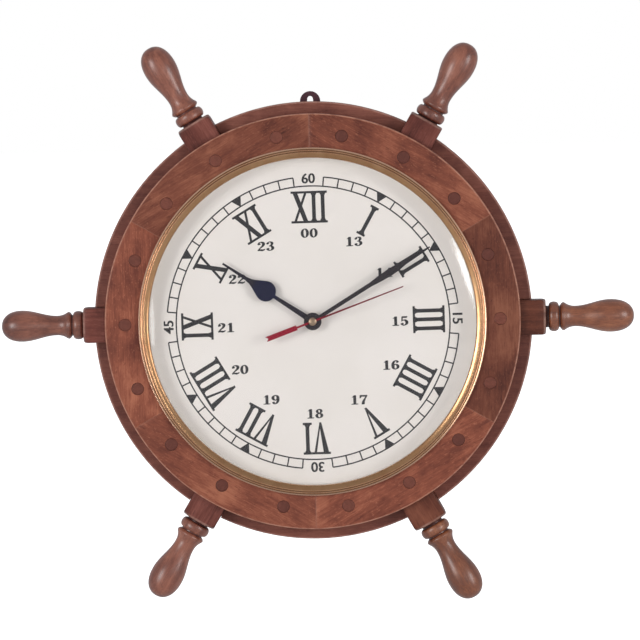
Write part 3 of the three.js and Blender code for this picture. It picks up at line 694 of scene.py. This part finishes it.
def end_grain(name, seed, color, dark, turn):
    look = Look(name, turn)
    pores = look.noise((0.5, 0.5, 2), seed, 3, 0.6)
    rings = look.noise((5, 1.6, 5), seed + 1, 3, 0.6, 0.6)
    value = look.total((pores, 0.5), (rings, 0.5))
    look.set(Base_Color=look.ramp(value, (0.35, dark), (0.62, color)), Specular_IOR_Level=0.25)
    look.set(Roughness=look.span(pores, 0.3, 0.7, 0.5, 0.66))
    look.bump(pores, 0.3, 0.1)
    return look.material


# How dark each dowel is, from pale to deep, three to a felloe and from the first felloe's lowest
DOWEL_PALE, DOWEL_DEEP = tone(126, 70, 55), tone(100, 53, 43)
DOWEL_SHADES = [
    0.35, 0.1, 0.9, 0.95, 1.0, 0.9, 0.15, 0.3, 0.1, 0.5, 0.5, 0.5, 0.8, 0.85, 0.75, 0.3, 0.3, 0.85,
]


def add_dowels():
    for i, share in enumerate(DOWEL_SHADES):
        color = [a + (b - a) * share for a, b in zip(DOWEL_PALE, DOWEL_DEEP)]
        dark = [part * 0.6 for part in color[:3]] + [1]
        turn = 60 * (i // 3) + 20 * (i % 3 - 1)
        material = end_grain(f"dowel_wood_{i + 1}", 3.3 * i, color, dark, turn)
        mesh = dowel_mesh(1.7 * i)
        name = f"dowel_{i + 1}"
        add_piece(name + "_shaped", mesh, material, "wheel", turn, name)


# Bezel, by radius and level: a skirt with a lip over the glass, a bowed inner slope, a thin bead
# between two grooves, and a sloping edge bead. Slope is its two radii and its top
GROOVE_INNER = 120.7
GROOVE_OUTER = 122.15
BEZEL_SKIRT = [(119.2, 44), (119.2, 33.3), (117.8, 33.3), (117.8, 42.7), (116, 42.75)]
BEZEL_LIP = [(116, 43.2), (116.1, 43.7), (116.35, 45.1)]
BEZEL_SLOPE = 116.6, 119.9, 46.6
BEZEL_WAVES = [(119.9, 46.6), (GROOVE_INNER, 46.1), (121.4, 46.45), (GROOVE_OUTER, 45.98)]
BEZEL_EDGE = [
    (GROOVE_OUTER, 45.98), (122.3, 46.04), (123.1, 46.41), (123.3, 46.42), (123.5, 46.2),
    (123.5, 44),
]


def bezel_profile():
    profile = BEZEL_SKIRT + BEZEL_LIP
    start, end, top = BEZEL_SLOPE
    for i in range(10):
        share = 1 - i / 10
        drop = (end - start) * share * (0.14 + 0.18 * share)
        profile.append((end - (end - start) * share, top - drop))
    for (r0, z0), (r1, z1) in zip(BEZEL_WAVES, BEZEL_WAVES[1:]):
        profile += [(r0 + (r1 - r0) * i / 8, ease(z0, z1, i / 8)) for i in range(8)]
    return profile + BEZEL_EDGE


# Brass, paler along its edge bead than on its slope, with painted shade in its grooves and on the
# slope
def brass_look():
    look = Look("bezel_brass", 0)
    radius = look.radius()

    def near(centre):
        return look.span(look.away(radius, centre * MM), 0.1 * MM, 0.5 * MM, 1, 0)

    # Painted shade: the grooves and the inner slope are darkened where the brass lies in shade
    grooves = look.math("MAXIMUM", near(GROOVE_INNER), near(GROOVE_OUTER))
    slope = look.span(radius, 119.5 * MM, 120 * MM, 1, 0)
    edge = look.span(radius, 122.4 * MM, 122.7 * MM)
    stains = look.noise(14, 3, 4, 0.6)
    color = look.mix(look.span(stains, 0.35, 0.7), tone(208, 163, 127), tone(190, 143, 109))
    color = look.mix(slope, color, tone(222, 220, 208), "MULTIPLY")
    color = look.mix(edge, color, tone(204, 164, 138))
    color = look.mix(look.times(grooves, 0.72), color, tone(84, 50, 32))
    look.set(Base_Color=color, Metallic=1)
    look.set(Roughness=look.span(stains, 0.3, 0.7, 0.2, 0.25))
    look.bump(look.noise(6, 2, 3), 0.1, 0.02)
    return look.material


def add_bezel():
    mesh = make_mesh("bezel", *turned(bezel_profile(), 480), sharp=40)
    add_piece("bezel_moulded", mesh, brass_look(), "wheel", 0, "bezel")


# Glass: clear for what is behind it, with the reflections of both faces, stronger at a slant
GLASS_SHINE = 0.022


def glass_look():
    look = Look("clear_glass")
    tree = look.tree
    tree.nodes.remove(look.shader)
    clear = look.node("BsdfTransparent", Color=(0.993, 0.995, 0.993, 1))
    smears = look.noise(30, 1, 3)
    rough = look.span(smears, 0.3, 0.7, 0.015, 0.04)
    gloss = look.node("BsdfAnisotropic", Color=(1, 1, 1, 1), Roughness=rough)
    slant = look.node("LayerWeight", Blend=0.5).outputs["Facing"]
    share = look.math("MULTIPLY_ADD", look.math("POWER", slant, 5), 1 - GLASS_SHINE, GLASS_SHINE)
    both = look.node("MixShader", None, share, clear.outputs[0], gloss.outputs[0])
    look.feed(tree.nodes["Material Output"].inputs["Surface"], both.outputs[0])
    return look.material


def add_glass():
    steps = 26
    under = []
    for i in range(steps + 1):
        share = i / steps
        under.append((GLASS_DOME * share, GLASS_RISE * (1 - share**2)))
    bottom = GLASS_TOP - GLASS_THICKNESS
    profile = [(max(r, 0.001), bottom + z) for r, z in under]
    profile += [(GLASS_RADIUS, bottom), (GLASS_RADIUS, GLASS_TOP)]
    profile += [(max(r, 0.001), GLASS_TOP + z) for r, z in reversed(under)]
    mesh = make_mesh("glass", *turned(profile, 360), sharp=4)
    add_piece("glass_domed", mesh, glass_look(), "wheel", 0, "glass")


# Cap of the second hand
def add_cap():
    side = 0.6
    profile = [(0.001, CAP_LEVEL), (CAP_RADIUS - 0.1, CAP_LEVEL), (CAP_RADIUS, CAP_LEVEL + 0.1)]
    profile += [(CAP_RADIUS, CAP_LEVEL + side)]
    for i in range(1, 13):
        angle = math.pi / 2 * i / 12
        level = CAP_LEVEL + side + (CAP_HEIGHT - side) * math.sin(angle)
        profile.append((max(CAP_RADIUS * math.cos(angle), 0.001), level))
    material = plain("cap_metal", tone(172, 146, 122), 0.38, 1, 0.2, 0.2, 0.01)
    mesh = make_mesh("cap", *turned(profile, 48), sharp=60)
    name = "second_hand_cap"
    add_piece(name + "_domed", mesh, material, "second_arbor", 0, name)


# Print of the dial: polygons in the dial's plane, merged into one thin raised layer. It is turned
# and lowered as the photograph has it
DIAL_TURN = 0.8
PRINT_DROP = 1.3
NUMERAL_FOOT = 71
NUMERAL_HEIGHT = 22.7
BAR = 1.6
STEM = 2.65
THICK = 3.3
THIN = 1.8
BRACKET = 0.8
CELLS = {"I": 6.4, "V": 13, "X": 13}


# A bar from one point to another, with its width at each end
def slab(x0, y0, x1, y1, width, width1=None):
    a, b = width / 2, (width if width1 is None else width1) / 2
    return [(x0 - a, y0), (x0 + a, y0), (x1 + b, y1), (x1 - b, y1)]


def moved(shapes, x0, y0):
    return [[(x + x0, y + y0) for x, y in shape] for shape in shapes]


def roman(text):
    lap = 0.2
    shapes, left = [], -lap
    height = NUMERAL_HEIGHT
    for letter in text:
        cell = CELLS[letter]
        middle = left + cell / 2 + (lap if left < 0 else 0)
        if letter == "I":
            shapes.append(slab(middle, 0, middle, height, STEM))
            for foot, way in ((0, 1), (height, -1)):
                near, far = foot + BAR * way, foot + (BAR + 1.6) * way
                shapes.append(slab(middle, near, middle, far, STEM + 2 * BRACKET, STEM))
        elif letter == "X":
            shapes.append(slab(middle + 4.1, 0, middle - 4.1, height, THICK))
            shapes.append(slab(middle - 4.2, 0, middle + 4.2, height, THIN))
        else:
            shapes.append(slab(middle + 0.3, 0, middle - 3.8, height, 1.6, THICK + 0.7))
            shapes.append(slab(middle + 0.3, 0, middle + 4.3, height, 0.9, THIN))
        if letter != "V":
            shapes.append(rectangle(left, 0, left + cell, BAR))
        left += cell
    shapes.append(rectangle(-lap, height - BAR, left, height))
    return moved(shapes, (lap - left) / 2, 0)


# A stroke along points of x, y and width in hundredths, as a strip of quads
def stroke(points, steps=5):
    path = [Vector([value / 100 for value in point]) for point in points]
    fine = []
    for i in range(len(path) - 1):
        p0, p1 = path[max(i - 1, 0)], path[i]
        p2, p3 = path[i + 1], path[min(i + 2, len(path) - 1)]
        square, cube = 2 * p0 - 5 * p1 + 4 * p2 - p3, 3 * p1 - p0 - 3 * p2 + p3
        for k in range(steps):
            t = k / steps
            fine.append(0.5 * (2 * p1 + (p2 - p0) * t + square * t**2 + cube * t**3))
    fine.append(path[-1])
    sides = []
    for i, p in enumerate(fine):
        ahead = fine[min(i + 1, len(fine) - 1)] - fine[max(i - 1, 0)]
        across = Vector((-ahead.y, ahead.x)).normalized() * p.z / 2
        sides.append(((p.x + across.x, p.y + across.y), (p.x - across.x, p.y - across.y)))
    return [[a[1], b[1], b[0], a[0]] for a, b in zip(sides, sides[1:])]


# A filled oval, or the quads of a ring where it has an inner one
def oval(x, y, rx, ry, inner_rx=0.0, inner_ry=0.0, steps=20):
    def rim(across, high):
        turns = [2 * math.pi * i / steps for i in range(steps + 1)]
        return [(x + across * math.cos(a), y + high * math.sin(a)) for a in turns]

    outer, inner = rim(rx, ry), rim(inner_rx, inner_ry)
    if inner_rx == 0:
        return [outer[:-1]]
    return [[inner[i], outer[i], outer[i + 1], inner[i + 1]] for i in range(steps)]


# Serif figures in a cell 0.78 wide and 1 high: polygons and ovals, and strokes by their points
STROKES = {
    "arch": [(12, 72, 6), (20, 90, 8), (38, 96, 9), (56, 87, 18), (60, 72, 20), (50, 52, 15),
             (28, 30, 9), (12, 8, 10)],
    "base": [(8, 6, 12), (30, 10, 15), (52, 8, 17), (70, 20, 6)],
    "upper": [(14, 80, 6), (24, 93, 8), (40, 96, 8), (55, 88, 16), (57, 74, 18), (48, 58, 12),
              (32, 53, 7)],
    "lower": [(32, 53, 7), (50, 50, 10), (61, 38, 19), (62, 22, 19), (50, 8, 12), (32, 4, 8),
              (16, 10, 7)],
    "bowl": [(17, 50, 6), (30, 60, 9), (50, 56, 14), (61, 38, 20), (60, 20, 19), (46, 7, 11),
             (30, 4, 8), (16, 12, 7)],
    "back": [(62, 86, 6), (50, 96, 8), (32, 90, 13), (20, 72, 18), (16, 50, 20), (18, 28, 20)],
    "tail": [(67, 86, 6), (50, 55, 12), (38, 25, 20), (36, 0, 22)],
}


def figure(digit):
    drawn = {name: stroke(points) for name, points in STROKES.items()}
    ball = oval(0.18, 0.19, 0.11, 0.1)
    if digit == "0":
        return oval(0.38, 0.5, 0.34, 0.5, 0.15, 0.43)
    if digit == "1":
        flag = [(0.14, 0.78), (0.32, 0.82), (0.42, 1), (0.36, 1)]
        return [slab(0.4, 0, 0.4, 1, 0.2), flag, rectangle(0.12, 0, 0.68, 0.08)]
    if digit == "2":
        return drawn["arch"] + drawn["base"] + oval(0.19, 0.74, 0.11, 0.1)
    if digit == "3":
        return drawn["upper"] + drawn["lower"] + oval(0.18, 0.79, 0.1, 0.09) + ball
    if digit == "4":
        slope = [(0.04, 0.26), (0.14, 0.26), (0.5, 0.88), (0.5, 1)]
        beam, foot = rectangle(0.04, 0.24, 0.74, 0.32), rectangle(0.3, 0, 0.7, 0.07)
        return [slab(0.5, 0, 0.5, 1, 0.2), slope, beam, foot]
    if digit == "5":
        top = [(0.18, 0.84), (0.62, 0.84), (0.64, 1), (0.18, 1)]
        post = [(0.14, 0.46), (0.2, 0.46), (0.24, 1), (0.17, 1)]
        return [top, post] + drawn["bowl"] + ball
    if digit == "6":
        return oval(0.4, 0.3, 0.33, 0.3, 0.13, 0.23) + drawn["back"] + oval(0.58, 0.82, 0.1, 0.09)
    if digit == "7":
        serif = [(0.08, 0.66), (0.13, 0.66), (0.2, 0.86), (0.08, 0.9)]
        return [rectangle(0.08, 0.84, 0.72, 1), serif] + drawn["tail"]
    if digit == "8":
        return oval(0.38, 0.76, 0.27, 0.24, 0.11, 0.17) + oval(0.38, 0.28, 0.33, 0.28, 0.14, 0.2)
    # A nine is a six turned round
    return [[(0.78 - x, 1 - y) for x, y in shape] for shape in figure("6")]


# Numbers of the afternoon hours: angle, distance from the centre, figures
AFTERNOON = [
    (0, 63.9, "00"), (28.9, 65, "13"), (56.8, 62.4, "14"), (90.6, 62.3, "15"), (120, 63.4, "16"),
    (150.6, 64, "17"), (180.2, 64.7, "18"), (210, 62.1, "19"), (238.9, 61.3, "20"),
    (268.6, 61.4, "21"), (302, 61.9, "22"), (330.6, 63.7, "23"),
]
FIGURE_HEIGHT = 6.5
FIGURE_WIDTH = 7.8
FIGURE_SHIFT = -0.5
FIGURE_BOLD = 0.27
ROMANS = ["XII", "I", "II", "III", "IIII", "V", "VI", "VII", "VIII", "IX", "X", "XI"]
MINUTES_FOOT = 99.2
MINUTES_HEIGHT = 7.1
MINUTES_BOLD = 0.16
TRACK_OUTER = 103.8
TRACK_INNER = 97.3
TRACK_GAP = 6
LINE = 0.95


# A line round the dial, as quads from one angle to another
def arc_band(radius, start, end):
    steps = round((end - start) / 2)
    turns = [90 - (start + (end - start) * i / steps) for i in range(steps + 1)]
    inner = [polar(radius - LINE / 2, turn)[:2] for turn in turns]
    outer = [polar(radius + LINE / 2, turn)[:2] for turn in turns]
    return [[outer[i], outer[i + 1], inner[i + 1], inner[i]] for i in range(steps)]


# Points drawn upright at twelve, carried round the dial with their tops outward
def outward(shapes, degrees):
    angle = math.radians(degrees)
    s, c = math.sin(angle), math.cos(angle)
    return [[(x * c + y * s, y * c - x * s) for x, y in shape] for shape in shapes]


def sans_number(text, height):
    curve = bpy.data.curves.new("number", "FONT")
    curve.body = text
    curve.offset = 0.012
    holder = bpy.data.objects.new("number", curve)
    scene.collection.objects.link(holder)
    bpy.context.view_layer.update()
    mesh = holder.to_mesh()
    points = [tuple(v.co[:2]) for v in mesh.vertices]
    low = [min(p[i] for p in points) for i in range(2)]
    high = [max(p[i] for p in points) for i in range(2)]
    scale = height / (high[1] - low[1])
    middle = (low[0] + high[0]) / 2
    shapes = []
    for polygon in mesh.polygons:
        corners = [points[i] for i in polygon.vertices]
        shapes.append([((x - middle) * scale, (y - low[1]) * scale) for x, y in corners])
    holder.to_mesh_clear()
    bpy.data.objects.remove(holder)
    return shapes


# Figures stand upright round the dial. Each is printed twice, a little apart, to make it bold
def afternoon_number(degrees, distance, text):
    x, y, _ = polar(distance, 90 - degrees)
    shapes = []
    for place, digit in enumerate(text):
        left = (place - 1) * 0.8 + 0.01
        for shape in figure(digit):
            flat = [((left + u) * FIGURE_WIDTH, (v - 0.5) * FIGURE_HEIGHT) for u, v in shape]
            for side in (-FIGURE_BOLD, FIGURE_BOLD):
                shapes += moved([flat], x + FIGURE_SHIFT + side, y + side / 3)
    return shapes


def dial_shapes():
    shapes = []
    for hour, text in enumerate(ROMANS):
        shapes += outward(moved(roman(text), 0, NUMERAL_FOOT), 30 * hour)
    for number in AFTERNOON:
        shapes += afternoon_number(*number)
    for quarter, text in enumerate(("60", "15", "30", "45")):
        for side in (-MINUTES_BOLD, MINUTES_BOLD):
            lifted = moved(sans_number(text, MINUTES_HEIGHT), side, MINUTES_FOOT)
            shapes += outward(lifted, 90 * quarter)
        shapes += arc_band(TRACK_OUTER, 90 * quarter + TRACK_GAP, 90 * quarter + 90 - TRACK_GAP)
    shapes += arc_band(TRACK_INNER, 0, 360)
    for minute in range(60):
        if minute % 15 == 0:
            continue
        if minute % 5 == 0:
            apex = [(-4, TRACK_OUTER), (4, TRACK_OUTER), (0.3, TRACK_INNER), (-0.3, TRACK_INNER)]
            shapes += outward([apex[::-1]], 6 * minute)
        else:
            shapes += outward([slab(0, TRACK_INNER, 0, TRACK_OUTER, LINE)], 6 * minute)
    return shapes


def area(shape):
    return sum(x0 * y1 - x1 * y0 for (x0, y0), (x1, y1) in zip(shape, shape[1:] + shape[:1])) / 2


# Which points lie in any of the polygons
def covered(points, shapes):
    hits = np.zeros(len(points), bool)
    for shape in shapes:
        corners = np.array(shape)
        low, high = corners.min(0), corners.max(0)
        near = np.where(((points >= low) & (points <= high)).all(1) & ~hits)[0]
        if not len(near):
            continue
        x, y = points[near].T
        crossings = np.zeros(len(near), bool)
        for (x0, y0), (x1, y1) in zip(corners, np.roll(corners, -1, 0)):
            spans = (y0 > y) != (y1 > y)
            if y1 != y0:
                crossings ^= spans & (x < (x1 - x0) * (y - y0) / (y1 - y0) + x0)
        hits[near[crossings]] = True
    return hits


# One solid from polygons that overlap, with walls only round its outline
def print_mesh(shapes, bottom, top):
    points, loops = [], []
    for shape in shapes:
        ordered = shape if area(shape) > 0 else shape[::-1]
        loops.append(list(range(len(points), len(points) + len(ordered))))
        points += [Vector(p) for p in ordered]
    made, _, faces, _, _, _ = geometry.delaunay_2d_cdt(points, [], loops, 1, 1e-5)
    middles = np.array([sum((made[i] for i in face), Vector((0, 0))) / 3 for face in faces])
    inside = covered(middles, shapes)
    kept = [face for face, hit in zip(faces, inside) if hit]
    edges = {(a, b): None for face in kept for a, b in zip(face, face[1:] + face[:1])}
    count = len(made)
    corners = [(p.x, p.y, top) for p in made] + [(p.x, p.y, bottom) for p in made]
    solid = [tuple(face) for face in kept]
    solid += [tuple(i + count for i in reversed(face)) for face in kept]
    solid += [(b, a, a + count, b + count) for a, b in edges if (b, a) not in edges]
    return make_mesh("print", corners, solid, sharp=30)


def add_print():
    mesh = print_mesh(moved(dial_shapes(), 0, -PRINT_DROP), DIAL_TOP - 0.02, DIAL_TOP + 0.05)
    material = plain("dial_ink", tone(24, 18, 22), 0.5, 0, 0.4, 0.2, 0.01)
    add_piece("dial_print", mesh, material, "wheel", DIAL_TURN)


def card_look():
    look = Look("dial_paper")
    fibres = look.noise(0.5, 1, 3, 0.7)
    clouds = look.noise(45, 4, 3)
    color = look.mix(look.span(clouds, 0.3, 0.7), tone(237, 229, 223), tone(233, 225, 218))
    color = look.mix(look.span(fibres, 0.6, 0.8, 0, 0.25), color, tone(222, 213, 204))
    look.set(Base_Color=color, Roughness=look.span(fibres, 0.3, 0.7, 0.5, 0.62))
    look.bump(fibres, 0.1, 0.03)
    return look.material


# A dark sleeve with a copper coloured band at one end
def battery_look():
    look = Look("battery_sleeve")
    axes = look.axes()
    band = look.span(axes[0], 8.5 * MM, 8.7 * MM)
    scuffs = look.span(look.noise((3, 0.6, 0.6), 6, 4, 0.7), 0.62, 0.75, 0, 0.5)
    color = look.mix(band, tone(48, 52, 58), tone(176, 118, 66))
    color = look.mix(scuffs, color, tone(120, 118, 112))
    smears = look.noise(2, 2)
    look.set(Base_Color=color, Metallic=0.35, Roughness=look.span(smears, 0.3, 0.7, 0.28, 0.42))
    return look.material


# Paint of a hand in two colours, the second where the share that part gives is 1
def hand_look(name, part, first, second, gloss, shine):
    look = Look(name)
    speckle = look.noise(0.6, 2.5, 2, 0.6)
    look.set(Base_Color=look.mix(part(look), first, second), Specular_IOR_Level=shine)
    look.set(Roughness=look.span(speckle, 0.2, 0.8, gloss, 0.42))
    look.bump(speckle, 0.3, 0.01)
    return look.material


# The second hand's red needle is darkened with painted shade, for the shadow line along it
def needle(look):
    return look.span(look.axes()[0], 2 * MM, 12 * MM)


# The hour hand's bulb is bluer than its stem and tip
def stem(look):
    return look.span(look.away(look.from_hub(34), 39.6 * MM), 8.5 * MM, 11.5 * MM)


# The red hand's darker second colour is painted shade on its needle
RED_PAINT = hand_look("hand_paint_red", needle, tone(142, 8, 38), tone(112, 8, 26), 0.3, 0.12)
BLUE_PAINT = hand_look("hand_paint", stem, tone(16, 16, 48), tone(36, 30, 40), 0.28, 0.15)


# Plies show on the board's edge alone
def plywood_look():
    look = Look("plywood")
    axes = look.axes()
    grain = look.noise((5, 60, 5), 3, 5, 0.6, 1.2)
    fine = look.noise((0.6, 0.6, 14), 8, 3, 0.6)
    streaks = look.noise((6, 6, 90), 2, 4, 0.6, 1.0)
    value = look.total((streaks, 0.6), (fine, 0.4))
    color = look.ramp(value, (0.36, tone(150, 112, 74)), (0.62, tone(206, 170, 124)))
    plies = look.math("PINGPONG", axes[1], 1.2 * MM)
    edge = look.math("GREATER_THAN", plies, 0.6 * MM)
    outside = look.span(look.from_hub(29), 118.8 * MM, 119.1 * MM)
    dark = look.mix(edge, tone(190, 150, 105), tone(120, 84, 54))
    color = look.mix(outside, color, dark)
    look.set(Base_Color=color, Roughness=look.span(grain, 0.3, 0.7, 0.7, 0.85))
    look.bump(fine, 0.3, 0.1)
    return look.material


# Materials for the CAD nodes that stay, by the record's slots
MATERIALS = {
    "eye_metal": plain("eye_paint", tone(84, 50, 58), 0.42, 0.55, 0.5, 0.35, 0.03),
    "steel": plain("steel_plate", tone(190, 190, 192), 0.3, 1, 0.4, 0.15, 0.01),
    "brass": plain("nut_brass", tone(214, 170, 104), 0.26, 1, 0.3, 0.2, 0.01),
    "spacer_card": plain("spacer_white", tone(226, 222, 216), 0.6, 0, 0.5, 0.06, 0.02),
    "dial_card": card_look(),
    "board_wood": plywood_look(),
    "case_plastic": plain("case_black", tone(34, 34, 37), 0.5, 0, 0.35, 0.15, 0.05),
    "battery_wrap": battery_look(),
    "circuit": plain("laminate", tone(44, 96, 60), 0.4, 0, 0.8, 0.2, 0.02),
    "copper_wire": plain("winding", tone(196, 110, 66), 0.35, 0.8, 0.15, 0.25, 0.05),
    "gear_plastic": plain("gear_white", tone(232, 228, 217), 0.4, 0, 0.5, 0.05, 0.01),
    "gear_brass": plain("gear_gold", tone(214, 172, 96), 0.32, 1, 0.3, 0.15, 0.01),
    "hand_black": BLUE_PAINT,
    "hand_red": RED_PAINT,
}
GREY_PAINT = plain("hand_paint_grey", tone(46, 40, 44), 0.34, 0, 0.6, 0.2, 0.01, 0.15)

# How far the edges of each CAD node that stays are rounded, in mm
EDGES = {
    "hanging_eye": 0.25, "eye_screw_left": 0.15, "eye_screw_right": 0.15, "glass_spacer": 0.15,
    "dial": 0.1, "dial_board": 0.2, "dial_nut": 0.2, "movement_case": 0.35,
    "movement_cover": 0.3, "battery": 0.3, "set_knob": 0.25,
    "hour_hand": 0.14, "minute_hand": 0.14, "second_hand": 0.1,
}
REPLACED = ("back_ring", "felloe", "spoke", "dowel", "bezel", "glass", "second_hand_cap")


# A CAD node keeps its mesh and gets a material, eased edges and smooth shading. The minute hand
# is greyer than the hour hand, which has the same slot
def dress(name, node):
    slot = node.data.materials[0].name
    node.material_slots[0].material = GREY_PAINT if name == "minute_hand" else MATERIALS[slot]
    node.data.shade_smooth()
    weld = node.modifiers.new("weld", "WELD")
    weld.merge_threshold = 1e-6
    flat = node.modifiers.new("flat", "DECIMATE")
    flat.decimate_type = "DISSOLVE"
    flat.angle_limit = math.radians(0.5)
    if name in EDGES:
        edge = node.modifiers.new("edge", "BEVEL")
        edge.width = EDGES[name] * MM
        edge.segments = 2
        edge.limit_method = "ANGLE"
        edge.angle_limit = math.radians(32)
        edge.miter_outer = "MITER_ARC"
    node.modifiers.new("normals", "WEIGHTED_NORMAL")


add_back_ring()
add_felloes()
add_spokes()
add_dowels()
add_bezel()
add_glass()
add_print()
add_cap()
for node_name, cad_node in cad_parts.items():
    if node_name.rstrip("_0123456789") not in REPLACED:
        dress(node_name, cad_node)


# Stage: a plain pale floor below the clock, and soft light. Lengths are in metres here
FLOOR_LEVEL = -0.47
FLOOR_HALF = 40
LIGHT_DISTANCE = 3.2


def add_floor():
    square = rectangle(-FLOOR_HALF, -FLOOR_HALF, FLOOR_HALF, FLOOR_HALF)
    corners = [(x, y, FLOOR_LEVEL) for x, y in square]
    mesh = bpy.data.meshes.new("floor")
    mesh.from_pydata(corners, [], [(0, 1, 2, 3)])
    floor = bpy.data.objects.new("floor", mesh)
    scene.collection.objects.link(floor)
    look = Look("pale_floor")
    look.set(Base_Color=(0.9, 0.9, 0.9, 1), Roughness=0.9)
    seen = look.node("LightPath").outputs["Is Camera Ray"]
    look.set(Emission_Color=(1, 1, 1, 1), Emission_Strength=look.times(seen, 0.9))
    mesh.materials.append(look.material)


# An area light that faces the middle of the clock
def add_light(name, azimuth, elevation, width, height, power, roll=0.0):
    data = bpy.data.lights.new(name, "AREA")
    data.shape = "RECTANGLE"
    data.size, data.size_y = width, height
    data.energy = power
    light = bpy.data.objects.new(name, data)
    scene.collection.objects.link(light)
    back = unit(azimuth, elevation)
    turn = back.to_track_quat("Z", "Y").to_matrix().to_4x4()
    target = Vector((0, -35 * MM, -HUB_DROP * MM))
    spin = Matrix.Rotation(math.radians(roll), 4, "Z")
    light.matrix_world = Matrix.Translation(target + back * LIGHT_DISTANCE) @ turn @ spin


# The world lights the clock faintly and is white behind it
def add_world():
    world = bpy.data.worlds.new("studio")
    world.use_nodes = True
    nodes, links = world.node_tree.nodes, world.node_tree.links
    back = nodes["Background"]
    back.inputs["Color"].default_value = (0.93, 0.95, 1, 1)
    back.inputs["Strength"].default_value = 0.5
    white = nodes.new("ShaderNodeBackground")
    white.inputs["Color"].default_value = (1, 1, 1, 1)
    seen = nodes.new("ShaderNodeLightPath").outputs["Is Camera Ray"]
    both = nodes.new("ShaderNodeMixShader")
    for socket, value in zip(both.inputs, (seen, back.outputs[0], white.outputs[0])):
        links.new(value, socket)
    links.new(both.outputs[0], nodes["World Output"].inputs["Surface"])
    scene.world = world


add_floor()
add_world()
add_light("left_softbox", -42, 4, 1.0, 1.7, 46)
add_light("right_softbox", 52, 5, 0.9, 1.6, 37)
add_light("left_strip", -22.1, 0, 0.12, 0.6, 1.2)
add_light("right_strip", 17.71, 2.73, 0.14, 0.52, 3.4, 17)
